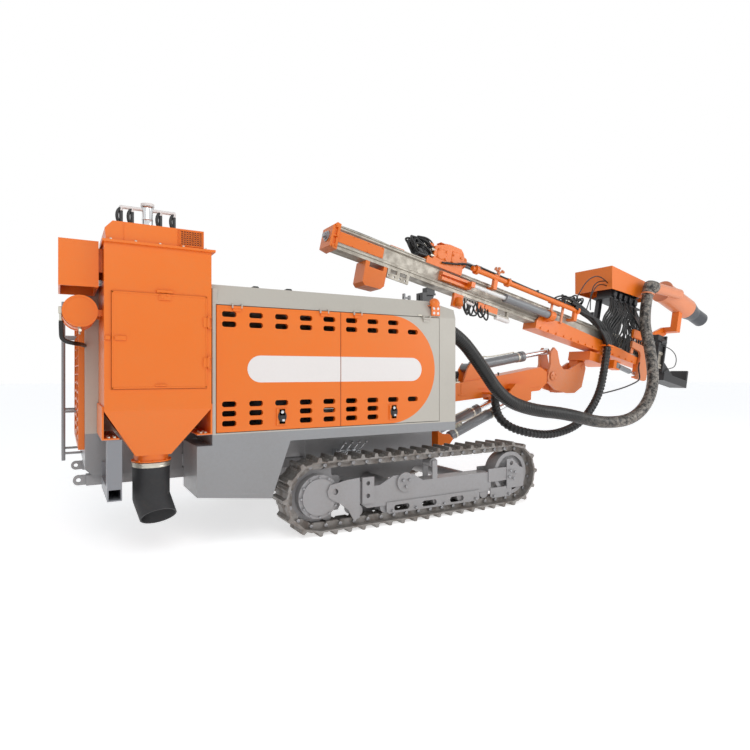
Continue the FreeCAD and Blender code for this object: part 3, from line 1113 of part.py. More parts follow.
def precleaner_arm():
    """Arm on the far side of the cradle that reaches over to a saddle under the cyclone."""
    v0 = FEED_HALF + SEAT + CHEEK_T + SEAT
    a, d = precleaner_axis()
    foot = box(5350, 5680, v0, v0 + 20, -40, 40)
    saddle_u, top = PRE_U0 + 440, PRE_W0 - 495
    arm = plate_xz([(5380, -20), (5560, -20), (saddle_u + 100, top - 105), (saddle_u + 100, top), (saddle_u, top),
                    (5380, 160)], v0 + 10, v0 + 60)
    cross = box(saddle_u, saddle_u + 100, PRE_V - 60, v0 + 60, top - 85, top)
    riser = box(saddle_u, saddle_u + 100, PRE_V - 60, PRE_V + 60, top - 25, PRE_W0 - 160)
    bore = Part.makeCylinder(PRE_R + SEAT, PRE_DRUM, a, d)
    return fuse(foot, arm, cross, riser.cut(bore))


def drill_table():
    """Centraliser on the feed's front end, with the open tray that runs on below it."""
    u0, u1 = FEED_LEN, FEED_LEN + 690
    plate = box(u0 + SEAT, u0 + 30, -120, 120, -60, DRILL_W + 120)
    jaw = box(u0 - 170, u0 + 4, -90, 90, FEED_H + SEAT, DRILL_W + 110)
    low, high, half = -185, -60, 150
    tray = box(u0 + 28, u1, -half, half, low, high).cut(box(u0 + 44, u1 - 16, -half + 16, half - 16, low + 16, high + 1))
    wall = box(u1 - 40, u1, -half, half, high - 1, 110)
    gussets = [plate_xz([(u0 + 29, high - 1), (u0 + 330, high - 1), (u0 + 29, 120)], v, v + 16) for v in (-118, 102)]
    hole = rod((u0 - 200, 0, DRILL_W), (1, 0, 0), 62, 500)
    return fuse(plate, jaw, tray, wall, *gussets).cut(hole)


def rod_changer():
    """A shaft with two arms along the near side of the beam."""
    v = -FEED_HALF - 92
    w = FEED_H + 78
    side = -FEED_WEB - SEAT
    low, high = EXT_W + EXT_BARREL_R + CLEAR, FEED_H - 52
    pieces = [rod((1850, v, w), (1, 0, 0), 34, 2040)]
    for u in (2230, 3800):
        pieces.append(box(u, u + 60, v - 20, side, low, high))
        pieces.append(box(u, u + 60, v - 20, v + 30, low, w + 40))
    pieces += [rod((u, v, w), (1, 0, 0), 58, 40) for u in (1900, 2450, 3830)]
    return fuse(*pieces)


def under_beam():
    """What hangs under the beam's rear half: guard, guide bar, end block and valve cylinder."""
    v0, v1 = -FEED_HALF, FEED_HALF + 50
    top = -SEAT
    guard = plate_xz([(395, top), (690, top), (690, -230), (650, -275), (440, -290), (400, -255)], v0, v1)
    guard = guard.cut(box(450, 640, v0 - 1, v1 + 1, -60, top + 1))
    bar = box(700, 1010, v0, v0 + 22, -112, -50)
    for u in (720, 800, 880, 960):
        bar = bar.cut(cross_pin(u, v0 - 1, v0 + 23, -81, 13))
    hangers = [box(u, u + 40, v0, v0 + 22, -52, top) for u in (700, 830, 970)]
    block = box(1715, 1862, v0, v0 + 45, -172, top)
    tube = rod((2180, v0 + 28, -86), (1, 0, 0), 28, 500)
    straps = [box(u, u + 30, v0 + 6, v0 + 50, -90, top) for u in (2200, 2440, 2640)]
    return guard, fuse(bar, *hangers), block, fuse(tube, *straps)


def feed_rest():
    """A stand on the chassis nose, in front of the hood, with the rubber block that the feed lies over."""
    x, z = feed_point(REST_U, -REST_GAP)
    y0, y1 = REST_Y0, REST_Y1
    base = box(x - 150, x + 30, y0 - 40, y1 + 40, KING_Z1 + SEAT, KING_Z1 + 16)
    posts = [box(x - 140, x - 80, y, y + 60, KING_Z1 + 14, z - 60) for y in (y0, y1 - 60)]
    ties = [box(x - 130, x - 90, y0 + 10, y1 - 10, low, low + 50) for low in (KING_Z1 + 300, KING_Z1 + 700)]
    brace = plate_xz([(x - 82, KING_Z1 + 760), (x + 60, z - 90), (x + 60, z - 60), (x - 100, z - 60),
                      (x - 100, KING_Z1 + 700)], y0 + 40, y1 - 40)
    bar = box(x - 140, x + 60, y0, y1, z - 80, z - 56)
    slope = math.tan(math.radians(FEED_SLOPE))
    block = plate_xz([(x - 60, z - 57), (x + 60, z - 57), (x + 60, z - 60 * slope), (x - 60, z + 60 * slope)],
                     y0 + 20, y1 - 20)
    return fuse(base, *posts, *ties, brace, bar, block)


# Hoses that hang free: straight runs joined by tangent arcs

def duct_points():
    """From the hood's front wall down into the long loop and up to the cyclone."""
    end = on_feed_point(duct_end())
    near_end = on_feed_point(duct_end(400))
    return [Vector(3815, -790, 2110), Vector(4090, -800, 2010), Vector(4420, -828, 1650), Vector(4730, -870, 1230),
            Vector(5190, -905, 1075), Vector(5800, -950, 1010), Vector(6450, -985, 850), Vector(7180, -1000, 885),
            Vector(7680, -950, 1300), Vector(7800, -800, 1920), near_end, end]


def bundle_points():
    """From the bulkhead on the cradle down and back up to the one on the boom."""
    v = -FEED_HALF - 32 - 80
    start = on_feed_point(Vector(BULKHEAD_U, v, BULKHEAD_W))
    below = on_feed_point(Vector(BULKHEAD_U, v, BULKHEAD_W - 330))
    end = Vector(BOOM_BULKHEAD_X, BOOM_Y - BOOM_HALF - 175, BOOM_BULKHEAD_Z)
    return [start, below, Vector(6880, -600, 1200), Vector(6440, -640, 820), Vector(5900, -635, 690),
            Vector(5460, -600, 735), Vector(5180, -490, 830), Vector(end.x, end.y, 1020), end]


def on_feed_point(p):
    x, z = feed_point(p.x, p.z)
    return Vector(x, FEED_Y + p.y, z)


def bent_tube(name, points, radius):
    """A round tube along runs joined by arcs, each as large as its two runs allow."""
    edges = []
    start = points[0]
    radii = []
    for before, here, after in zip(points, points[1:], points[2:]):
        a, b = (before - here), (after - here)
        reach = 0.45 * min(a.Length, b.Length)
        half_turn = (math.pi - a.getAngle(b)) / 2
        arc_r = reach / math.tan(half_turn)
        radii.append(round(arc_r))
        a.normalize()
        b.normalize()
        first, last = here + a * reach, here + b * reach
        middle = here + (a + b).normalize() * (arc_r / math.cos(half_turn) - arc_r)
        edges.append(Part.LineSegment(start, first).toShape())
        edges.append(Part.Arc(first, middle, last).toShape())
        start = last
    edges.append(Part.LineSegment(start, points[-1]).toShape())
    path = Part.Wire(edges)
    ring = Part.Wire(Part.makeCircle(radius, points[0], points[1] - points[0]))
    tube = path.makePipeShell([ring], True, False)
    share = tube.Volume / (math.pi * radius * radius * path.Length)
    print(name, "length", round(path.Length), "radii", radii, "volume share", round(share, 4))
    return tube


def build_hoses():
    put("dust_duct", bent_tube("dust_duct", duct_points(), DUCT_R))
    put("hose_bundle", bent_tube("hose_bundle", bundle_points(), BUNDLE_R))


def build_feed_top():
    barrel, shaft = extension_cylinder()
    put("extension_barrel", on_feed(barrel))
    put("extension_rod", on_feed(shaft))
    put("hook_bracket", on_feed(hook_bracket()))
    barrel, shaft = swing_cylinder()
    put("swing_barrel", on_feed(barrel))
    put("swing_rod", on_feed(shaft))
    put("valve_cover", on_feed(valve_cover()))
    put("valve_block", on_feed(valve_stand()))
    put("precleaner", on_feed(precleaner()))
    put("precleaner_arm", on_feed(precleaner_arm()))
    put("drill_table", on_feed(drill_table()))
    put("rod_changer", on_feed(rod_changer()))
    guard, guide, block, tube = [on_feed(piece) for piece in under_beam()]
    put("beam_guard", guard, block)
    put("beam_guide", guide, tube)
    put("feed_rest", feed_rest())


def build_boom_and_feed():
    put("front_frame", front_frame())
    put("swing_post", swing_post())
    put("boom", boom())
    base, eye = (LIFT_BASE_X, LIFT_BASE_Z), (LIFT_EYE_X, LIFT_EYE_Z)
    sides = [BOOM_Y - LIFT_OUT_Y, BOOM_Y + LIFT_OUT_Y]
    put("lift_barrels", *[cylinder_barrel(base, eye, y, BARREL_R, ROD_R, 58, 860, 2 * BARREL_R) for y in sides])
    put("lift_rods", *[cylinder_rod(base, eye, y, ROD_R, 200, 50, 2 * ROD_R + 8) for y in sides])
    ear = (EAR_X, EAR_Z)
    upper = feed_point(PIN_UP_U, PIN_UP_W)
    put("tilt_barrel", cylinder_barrel(ear, upper, BOOM_Y, TILT_BARREL_R, TILT_ROD_R, 56, 980, 2 * TILT_BARREL_R))
    put("tilt_rod", cylinder_rod(ear, upper, BOOM_Y, TILT_ROD_R, 260, 52, 80))
    put("boom_head", boom_head())
    put("tilt_bracket", on_feed(tilt_bracket()))
    put("cradle", on_feed(cradle()))
    put("feed_beam", on_feed(feed_beam()))
    put("feed_end", on_feed(feed_end()))
    put("drifter", on_feed(drifter()))
    put("chuck", on_feed(chuck()))


def main():
    build_running_gear()
    build_body()
    build_boom_and_feed()
    build_feed_top()
    build_hoses()
    bounds = Part.makeCompound(list(SHAPES.values())).BoundBox
    shift = Vector(-(bounds.XMin + bounds.XMax) / 2, -(bounds.YMin + bounds.YMax) / 2, -bounds.ZMin)
    os.makedirs("parts", exist_ok=True)
    for name, shape in SHAPES.items():
        moved = shape.copy()
        moved.translate(shift)
        moved.exportStep(os.path.join("parts", name + ".step"))
    print("nodes", len(SHAPES))
    print("box", [round(v) for v in (bounds.XMin, bounds.XMax, bounds.YMin, bounds.YMax, bounds.ZMin, bounds.ZMax)])
    return shift


SHIFT = main()
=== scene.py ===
# %% [markdown]
# # Crawler drilling rig
# A surface drilling rig is a tracked carrier with a full-width engine hood, a dust
# collector on its rear corner, and a boom that holds a long feed beam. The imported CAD
# model gives every rigid shape. This file dresses it: the finishes, the track shoes,
# the hoses, the panel furniture and the small parts that make it look built.

# %% Load the frame
import json
import math

import bmesh
import bpy
import numpy as np
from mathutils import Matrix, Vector


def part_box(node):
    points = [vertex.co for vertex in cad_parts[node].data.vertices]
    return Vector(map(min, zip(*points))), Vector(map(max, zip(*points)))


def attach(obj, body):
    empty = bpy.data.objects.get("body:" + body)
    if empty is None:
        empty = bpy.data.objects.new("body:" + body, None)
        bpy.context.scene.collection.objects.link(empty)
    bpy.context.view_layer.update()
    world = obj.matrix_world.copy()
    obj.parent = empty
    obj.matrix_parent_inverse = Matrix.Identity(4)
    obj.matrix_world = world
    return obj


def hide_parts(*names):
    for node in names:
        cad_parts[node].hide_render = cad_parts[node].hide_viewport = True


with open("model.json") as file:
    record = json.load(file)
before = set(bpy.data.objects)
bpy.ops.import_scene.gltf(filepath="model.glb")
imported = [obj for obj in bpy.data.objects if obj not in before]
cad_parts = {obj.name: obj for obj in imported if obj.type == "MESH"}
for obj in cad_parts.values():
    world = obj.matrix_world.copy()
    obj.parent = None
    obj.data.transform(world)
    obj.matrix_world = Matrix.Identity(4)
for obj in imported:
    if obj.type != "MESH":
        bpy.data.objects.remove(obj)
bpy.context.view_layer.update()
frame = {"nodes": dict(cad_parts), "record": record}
nodes = frame["nodes"]
body_of_node = {n: b for b, names in frame["record"]["behaviour"]["bodies"].items() for n in names}
rng = np.random.default_rng(7)

# %% [markdown]
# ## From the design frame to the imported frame
# The source works in millimetres from its own zero: X from a point 190 mm behind the
# deck, Y from the machine's centre plane. The deck plate is 190 mm from that zero and
# lies evenly about the centre plane, so its box gives the shift once for all pieces.

# %% Shift between the two frames
deck_low, deck_high = (np.array(c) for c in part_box("deck"))
SHIFT = np.array([deck_low[0] - 0.190, (deck_low[1] + deck_high[1]) / 2, 0.0])


def at(x, y, z):
    """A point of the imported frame, in metres, from the source's millimetres."""
    return np.array([x, y, z], float) / 1000 + SHIFT


def rows_at(points):
    """Many points at once: an array of millimetre rows becomes metre rows."""
    return np.asarray(points, float) / 1000 + SHIFT


FEED_ORIGIN = np.array([2690.0, -305.0, 2943.0])
FEED_SLOPE = math.radians(12.5)
FEED_TURN = np.array([[math.cos(FEED_SLOPE), 0, math.sin(FEED_SLOPE)],
                      [0, 1, 0],
                      [-math.sin(FEED_SLOPE), 0, math.cos(FEED_SLOPE)]])


def feed_rows(points):
    """Rows of (u, v, w) in millimetres on the feed: turned by the slope, then shifted."""
    return rows_at(np.asarray(points, float) @ FEED_TURN.T + FEED_ORIGIN)


print("shift", SHIFT.round(3), "feed origin", feed_rows([0, 0, 0]).round(3))

# %% [markdown]
# ## Numbers into meshes
# Every new piece starts as an array of points and a list of faces. Blender can also
# build pieces by operators, but an array says the shape as a formula that can be read
# and changed. The first tool puts such a pair into the scene and gives it its body.


# %% From points to an object
def make_piece(name, verts, faces, material, body, smooth=False):
    """Puts points and faces into one object at the origin that rides on a body."""
    mesh = bpy.data.meshes.new(name)
    mesh.from_pydata(np.asarray(verts, float).tolist(), [], [list(map(int, f)) for f in faces])
    mesh.update()
    obj = bpy.data.objects.new(name, mesh)
    bpy.context.scene.collection.objects.link(obj)
    mesh.materials.append(material)
    if smooth:
        mesh.polygons.foreach_set("use_smooth", np.ones(len(mesh.polygons), bool))
    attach(obj, body)
    return obj


# %% [markdown]
# A hose, a turned cap or a ribbed duct is a grid of points that is wrapped on itself.
# Faces of such a grid follow from the row and column numbers alone, so one function
# serves them all. A ring is the circle that most of these grids are made of.


# %% Grids and rings
def grid_faces(rows, cols, wrap_rows=False, wrap_cols=False):
    """Quads between neighbouring points of a rows x cols grid, wrapped where asked."""
    r = np.arange(rows if wrap_rows else rows - 1)
    c = np.arange(cols if wrap_cols else cols - 1)
    a, b = np.meshgrid(r, c, indexing="ij")
    a2, b2 = (a + 1) % rows, (b + 1) % cols
    quads = np.stack([a * cols + b, a2 * cols + b, a2 * cols + b2, a * cols + b2], -1)
    return quads.reshape(-1, 4)


def ring(radius, count, phase=0.0):
    """Points of a circle in its own plane: radius times cosine and sine of the angle."""
    t = np.arange(count) / count * 2 * math.pi + phase
    return np.stack([np.cos(t), np.sin(t)], -1) * radius


print("a closed 3 x 4 grid has", len(grid_faces(3, 4, wrap_cols=True)), "faces")

# %% [markdown]
# A round section has to stand square to its hose all the way. Two directions that are
# carried along without twisting keep its ridges in line, also where the hose turns.


# %% A frame along a path
def axes_along(path):
    """A frame that doesn't twist along a path: each normal is the last one, made square again."""
    path = np.asarray(path, float)
    tangent = np.gradient(path, axis=0)
    tangent /= np.linalg.norm(tangent, axis=1, keepdims=True)
    side = np.cross(tangent[0], [0, 0, 1.0] if abs(tangent[0][2]) < 0.9 else [0, 1.0, 0])
    normals = []
    for t in tangent:
        side = side - t * side.dot(t)
        side = side / np.linalg.norm(side)
        normals.append(side)
    normals = np.array(normals)
    return tangent, normals, np.cross(tangent, normals)


print("carried square along:", axes_along([[0, 0, 0], [1, 0, 0], [2, 1, 0]])[1].round(2).tolist())

# %% [markdown]
# Brackets, manifolds and clamps are sawn or milled blocks whose edges are broken by
# a file. A Bevel modifier would do that too. Here the cut edges are written into the
# points, which keeps the many small blocks light.


# %% Blocks with cut edges
def joined(parts):
    """Several (points, faces) pairs as one pair, with the face numbers moved on."""
    verts, faces, start = [], [], 0
    for v, f in parts:
        verts.append(np.asarray(v, float))
        faces += [[i + start for i in face] for face in f]
        start += len(v)
    return np.concatenate(verts), faces


def block(low, high, bevel=0.0):
    """A box with its twelve edges cut off: 24 points, three for each corner."""
    low, high = np.minimum(low, high).astype(float), np.maximum(low, high).astype(float)
    if bevel <= 0:
        corner = np.array([[i, j, k] for i in (0, 1) for j in (0, 1) for k in (0, 1)])
        verts = low + (high - low) * corner
        return verts, [[0, 1, 3, 2], [4, 6, 7, 5], [0, 4, 5, 1], [2, 3, 7, 6], [0, 2, 6, 4], [1, 5, 7, 3]]
    verts = []
    for i in (0, 1):
        for j in (0, 1):
            for k in (0, 1):
                sign = np.array([1 - 2 * i, 1 - 2 * j, 1 - 2 * k])
                corner = np.where([i, j, k], high, low)
                for axis in range(3):
                    move = np.array([bevel, bevel, bevel], float)
                    move[axis] = 0
                    verts.append(corner + sign * move)
    verts = np.array(verts)

    def v(i, j, k, axis):
        return ((i * 2 + j) * 2 + k) * 3 + axis

    faces = []
    for s in (0, 1):
        quad = [[v(s, 0, 0, 0), v(s, 0, 1, 0), v(s, 1, 1, 0), v(s, 1, 0, 0)],
                [v(0, s, 0, 1), v(1, s, 0, 1), v(1, s, 1, 1), v(0, s, 1, 1)],
                [v(0, 0, s, 2), v(0, 1, s, 2), v(1, 1, s, 2), v(1, 0, s, 2)]]
        faces += [q if s == 0 else q[::-1] for q in quad]
    for j in (0, 1):
        for k in (0, 1):
            q = [v(0, j, k, 1), v(1, j, k, 1), v(1, j, k, 2), v(0, j, k, 2)]
            faces.append(q if (j + k) % 2 else q[::-1])
            q = [v(j, 0, k, 2), v(j, 1, k, 2), v(j, 1, k, 0), v(j, 0, k, 0)]
            faces.append(q if (j + k) % 2 else q[::-1])
            q = [v(j, k, 0, 0), v(j, k, 1, 0), v(j, k, 1, 1), v(j, k, 0, 1)]
            faces.append(q if (j + k) % 2 else q[::-1])
    for i in (0, 1):
        for j in (0, 1):
            for k in (0, 1):
                t = [v(i, j, k, 0), v(i, j, k, 1), v(i, j, k, 2)]
                faces.append(t if (i + j + k) % 2 else t[::-1])
    return verts, faces


print("a plain block has", len(block([0, 0, 0], [9, 9, 9])[1]), "faces, a cut one",
      len(block([0, 0, 0], [9, 9, 9], 1)[1]))

# %% [markdown]
# Pins, caps, ferrules, levers and cylinder bands come from a lathe. The same form in
# numbers is a list of distances and radii, turned about an axis.


# %% Turned parts
def turned(profile, start, axis, count=24):
    """Pairs of (distance along, radius) turned about an axis: radius times a ring at each distance."""
    axis = np.asarray(axis, float)
    axis = axis / np.linalg.norm(axis)
    side = np.cross(axis, [0, 0, 1.0] if abs(axis[2]) < 0.9 else [1.0, 0, 0])
    side /= np.linalg.norm(side)
    up = np.cross(axis, side)
    profile = np.asarray(profile, float)
    circle = ring(1.0, count)
    spokes = circle[:, :1] * side + circle[:, 1:] * up
    centres = np.asarray(start, float) + profile[:, :1, None].transpose(0, 2, 1) * axis
    verts = centres + profile[:, 1, None, None] * spokes
    faces = [list(f)[::-1] for f in grid_faces(len(profile), count, wrap_cols=True)]
    faces.append(list(range(count))[::-1])
    faces.append([(len(profile) - 1) * count + i for i in range(count)])
    return verts.reshape(-1, 3), faces


print("a turned cap has", len(turned([(0, 3), (2, 3), (3, 2)], [0, 0, 0], [0, 0, 1])[0]), "points")

# %% [markdown]
# Plates are cut from sheet along an outline, a grille is crossed bars, and a bolt head
# is a turning with six sides. The chamfer of its crown catches the light on the rig.


# %% Plates, grilles and bolt heads
def prism(outline, low, high):
    """An outline of (x, z) pairs given a thickness from y low to y high."""
    outline = np.asarray(outline, float)
    count = len(outline)
    verts = np.zeros((2, count, 3))
    verts[:, :, 0] = outline[:, 0]
    verts[:, :, 2] = outline[:, 1]
    verts[0, :, 1] = low
    verts[1, :, 1] = high
    faces = [[i, (i + 1) % count, count + (i + 1) % count, count + i] for i in range(count)]
    return verts.reshape(-1, 3), faces + [list(range(count))[::-1], list(range(count, 2 * count))]


def lattice(low, high, nx, nz, y0, y1, bar):
    """Crossed bars of a grille in the xz plane: nx upright and nz level ones, evenly spread."""
    upright = [block([x - bar / 2, y0, low[1]], [x + bar / 2, y1, high[1]])
               for x in np.linspace(low[0], high[0], nx)]
    level = [block([low[0], y0, z - bar / 2], [high[0], y1, z + bar / 2])
             for z in np.linspace(low[1], high[1], nz)]
    return upright + level


def hex_heads(centres, axis, size, height):
    """Bolt heads across flats: a six-sided turning whose crown is drawn in for the chamfer."""
    profile = [(0, size * 0.577), (height * 0.8, size * 0.577), (height, size * 0.49)]
    return [turned(profile, c, axis, count=6) for c in centres]


print("a bolt head has", len(hex_heads([[0, 0, 0]], [0, 0, 1], 24, 12)[0][1]), "faces")

# %% [markdown]
# A mesh made from numbers may have faces that look inward, and mirrored parts always
# do. Blender's own recalculation turns them out. The rig is drawn in millimetres on the
# machine or on the sloping feed, so one function does the shift for either.


# %% Onto the rig or the feed
def facing_out(obj):
    """Turns a closed mesh's faces outward and shades it smooth up to an edge angle of 35 degrees."""
    bm = bmesh.new()
    bm.from_mesh(obj.data)
    bmesh.ops.recalc_face_normals(bm, faces=bm.faces)
    bm.to_mesh(obj.data)
    bm.free()
    obj.data.polygons.foreach_set("use_smooth", np.ones(len(obj.data.polygons), bool))
    obj.data.set_sharp_from_angle(angle=math.radians(35))
    return obj


def fitted(name, parts, material, body, on_feed=False):
    """Parts drawn in millimetres on the rig or on the feed become one object on a body."""
    verts, faces = joined(parts)
    verts = feed_rows(verts) if on_feed else rows_at(verts)
    return facing_out(make_piece(name, verts, faces, material, body))


print("the feed slopes down by", round(math.degrees(FEED_SLOPE), 1), "degrees")

# %% [markdown]
# ## Finishes
# The rig is sprayed mild steel in a few colours, with worn steel on its tracks, hard
# chrome on its cylinder rods and rubber on its hoses. Each finish starts from its own
# colour as a hex value and typical roughness. One function adds a node, and one makes
# a material whose plain numbers stand on the shader's own sockets.


# %% Colour and node helpers
def linear(hex_colour):
    """sRGB hex to linear RGBA: ((c + 0.055) / 1.055) to the power 2.4 above the toe."""
    c = np.array([int(hex_colour[i:i + 2], 16) for i in (1, 3, 5)]) / 255
    c = np.where(c <= 0.04045, c / 12.92, ((c + 0.055) / 1.055) ** 2.4)
    return (*c.tolist(), 1.0)


def add(material, kind, links=(), **settings):
    """Adds one node: settings go to its own properties or its sockets, links join (socket, source) pairs."""
    tree = material.node_tree
    node = tree.nodes.new(kind)
    for key, value in settings.items():
        if hasattr(node, key):
            setattr(node, key, value)
        else:
            node.inputs[key.replace("_", " ")].default_value = value
    for socket, source in links:
        tree.links.new(source, node.inputs[socket])
    return node


def new_material(name, **sockets):
    """A material with one Principled shader, whose plain numbers are set on its own sockets."""
    material = bpy.data.materials.new(name)
    material.use_nodes = True
    shader = material.node_tree.nodes["Principled BSDF"]
    for key, value in sockets.items():
        shader.inputs[key.replace("_", " ")].default_value = value
    return material, shader


print("white as linear", linear("#FFFFFF"))

# %% [markdown]
# Sprayed enamel is even in colour and has a soft shine with fine orange peel. Large,
# weak noise breaks it as road dust and thin paint do, and dust lies thicker low down.
# Some CAD solids are of two finishes, such as paint with a rubber tip. A plane splits
# them, and past it the second colour holds.


# %% Sprayed enamel
def painted(name, colour, dust="#8C8377", roughness=0.36, dust_amount=0.16, coat=0.25, peel_mm=6.0,
            low_dirt=0.0, beyond=None):
    """Sprayed enamel on steel: colour mixed with dust by large noise, a fine peel bump, dull where dusty."""
    material, shader = new_material(name, Coat_Weight=coat, Coat_Roughness=0.12)
    link = material.node_tree.links.new
    place = add(material, "ShaderNodeTexCoord")
    cloud = add(material, "ShaderNodeTexNoise", [("Vector", place.outputs["Object"])], Scale=2.3, Detail=8.0,
                Roughness=0.62)
    speck = add(material, "ShaderNodeTexNoise", [("Vector", place.outputs["Object"])], Scale=34.0, Detail=6.0,
                Roughness=0.7)
    both = add(material, "ShaderNodeMath", [(0, cloud.outputs["Fac"]), (1, speck.outputs["Fac"])],
               operation="MULTIPLY")
    amount = add(material, "ShaderNodeMapRange", [("Value", both.outputs[0])], From_Min=0.18, From_Max=0.42,
                 To_Min=0.0, To_Max=dust_amount)
    fac = amount.outputs[0]
    if low_dirt:
        height = add(material, "ShaderNodeSeparateXYZ", [("Vector", place.outputs["Object"])])
        low = add(material, "ShaderNodeMapRange", [("Value", height.outputs["Z"])], From_Min=0.1,
                  From_Max=1.1, To_Min=low_dirt, To_Max=0.0)
        fac = add(material, "ShaderNodeMath", [(0, fac), (1, low.outputs[0])], operation="ADD",
                  use_clamp=True).outputs[0]
    mix = add(material, "ShaderNodeMix", [("Factor", fac)], data_type="RGBA")
    mix.inputs[6].default_value = linear(colour)
    mix.inputs[7].default_value = linear(dust)
    skin = mix.outputs[2]
    if beyond:
        axis, offset, second = beyond
        reach = add(material, "ShaderNodeVectorMath", [("Vector", place.outputs["Object"])],
                    operation="DOT_PRODUCT")
        reach.inputs[1].default_value = axis
        past = add(material, "ShaderNodeMath", [(0, reach.outputs["Value"])], operation="GREATER_THAN")
        past.inputs[1].default_value = offset
        other = add(material, "ShaderNodeMix", [("Factor", past.outputs[0])], data_type="RGBA")
        link(skin, other.inputs[6])
        other.inputs[7].default_value = linear(second)
        skin = other.outputs[2]
    link(skin, shader.inputs["Base Color"])
    dull = add(material, "ShaderNodeMapRange", [("Value", both.outputs[0])], From_Min=0.15, From_Max=0.45,
               To_Min=roughness - 0.05, To_Max=roughness + 0.14)
    link(dull.outputs[0], shader.inputs["Roughness"])
    peel = add(material, "ShaderNodeTexNoise", [("Vector", place.outputs["Object"])], Scale=1000.0 / peel_mm,
               Detail=2.0)
    bump = add(material, "ShaderNodeBump", [("Height", peel.outputs["Fac"])], Strength=0.05, Distance=0.001)
    link(bump.outputs["Normal"], shader.inputs["Normal"])
    return material


print("enamel shows orange peel of", 6, "mm, coarser than the real 1 to 2 mm so that it shows")

# %% [markdown]
# Track shoes are forged steel, worn bright at the edges and brown in the hollows. Rods
# are hard chrome, fittings are zinc plated, and the beam is mill-finish alloy. One
# function covers them: a metal whose rust takes away shine and metal in patches.


# %% Bare and plated metal
def steel(name, colour, rust, roughness=0.45, metallic=0.75, grain_mm=18.0, rust_amount=0.6):
    """Bare or worn steel: metal with brown rust in patches of one grain size, rougher where it rusts."""
    material, shader = new_material(name)
    link = material.node_tree.links.new
    place = add(material, "ShaderNodeTexCoord")
    patch = add(material, "ShaderNodeTexNoise", [("Vector", place.outputs["Object"])],
                Scale=1000.0 / grain_mm / 6, Detail=9.0, Roughness=0.68)
    amount = add(material, "ShaderNodeMapRange", [("Value", patch.outputs["Fac"])], From_Min=0.42,
                 From_Max=0.62, To_Min=0.0, To_Max=rust_amount)
    mix = add(material, "ShaderNodeMix", [("Factor", amount.outputs[0])], data_type="RGBA")
    mix.inputs[6].default_value = linear(colour)
    mix.inputs[7].default_value = linear(rust)
    link(mix.outputs[2], shader.inputs["Base Color"])
    metal = add(material, "ShaderNodeMapRange", [("Value", amount.outputs[0])], From_Min=0.0, From_Max=1.0,
                To_Min=metallic, To_Max=0.1)
    link(metal.outputs[0], shader.inputs["Metallic"])
    rough = add(material, "ShaderNodeMapRange", [("Value", amount.outputs[0])], From_Min=0.0, From_Max=1.0,
                To_Min=roughness, To_Max=0.9)
    link(rough.outputs[0], shader.inputs["Roughness"])
    pits = add(material, "ShaderNodeTexNoise", [("Vector", place.outputs["Object"])], Scale=1000.0 / grain_mm,
               Detail=5.0)
    bump = add(material, "ShaderNodeBump", [("Height", pits.outputs["Fac"])], Strength=0.25, Distance=0.002)
    link(bump.outputs["Normal"], shader.inputs["Normal"])
    return material


print("rust patches are about", 18 * 6, "mm, pits", 18, "mm")

# %% [markdown]
# Hoses have a smooth black cover and the duct a dull one. The front of the duct is
# caked with pale drill dust, which sits in patches and starts at a given place along X.


# %% Moulded rubber
def rubber(name, colour, roughness=0.62, grain_mm=3.0, dust_from=None):
    """Moulded rubber: near black, fine in grain, greyer where scuffed, and dusty from a given X on."""
    material, shader = new_material(name)
    link = material.node_tree.links.new
    place = add(material, "ShaderNodeTexCoord")
    scuff = add(material, "ShaderNodeTexNoise", [("Vector", place.outputs["Object"])], Scale=7.0, Detail=8.0,
                Roughness=0.7)
    amount = add(material, "ShaderNodeMapRange", [("Value", scuff.outputs["Fac"])], From_Min=0.52,
                 From_Max=0.85, To_Min=0.0, To_Max=0.3)
    mix = add(material, "ShaderNodeMix", [("Factor", amount.outputs[0])], data_type="RGBA")
    mix.inputs[6].default_value = linear(colour)
    mix.inputs[7].default_value = linear("#57534E")
    skin = mix.outputs[2]
    if dust_from:
        along_rig = add(material, "ShaderNodeSeparateXYZ", [("Vector", place.outputs["Object"])])
        start, full = (x + SHIFT[0] for x in dust_from)
        front = add(material, "ShaderNodeMapRange", [("Value", along_rig.outputs["X"])], From_Min=start,
                    From_Max=full, To_Min=0.0, To_Max=1.0)
        cake = add(material, "ShaderNodeTexNoise", [("Vector", place.outputs["Object"])], Scale=16.0,
                   Detail=9.0, Roughness=0.75)
        patch = add(material, "ShaderNodeMapRange", [("Value", cake.outputs["Fac"])], From_Min=0.43,
                    From_Max=0.6, To_Min=0.0, To_Max=0.85)
        dusty = add(material, "ShaderNodeMath", [(0, patch.outputs[0]), (1, front.outputs[0])],
                    operation="MULTIPLY")
        cover = add(material, "ShaderNodeMix", [("Factor", dusty.outputs[0])], data_type="RGBA")
        link(skin, cover.inputs[6])
        cover.inputs[7].default_value = linear("#9C948A")
        skin = cover.outputs[2]
    link(skin, shader.inputs["Base Color"])
    rough = add(material, "ShaderNodeMapRange", [("Value", scuff.outputs["Fac"])], From_Min=0.3, From_Max=0.7,
                To_Min=roughness - 0.1, To_Max=roughness + 0.15)
    link(rough.outputs[0], shader.inputs["Roughness"])
    grain = add(material, "ShaderNodeTexNoise", [("Vector", place.outputs["Object"])],
                Scale=1000.0 / grain_mm, Detail=3.0)
    bump = add(material, "ShaderNodeBump", [("Height", grain.outputs["Fac"])], Strength=0.15, Distance=0.001)
    link(bump.outputs["Normal"], shader.inputs["Normal"])
    return material


print("rubber grain is drawn at", 3, "mm")

# %% [markdown]
# The carrier is grey below and orange above, the castings of the boom's head are a
# paler, dustier orange, and the hood's roof and ends are light grey powder coat.

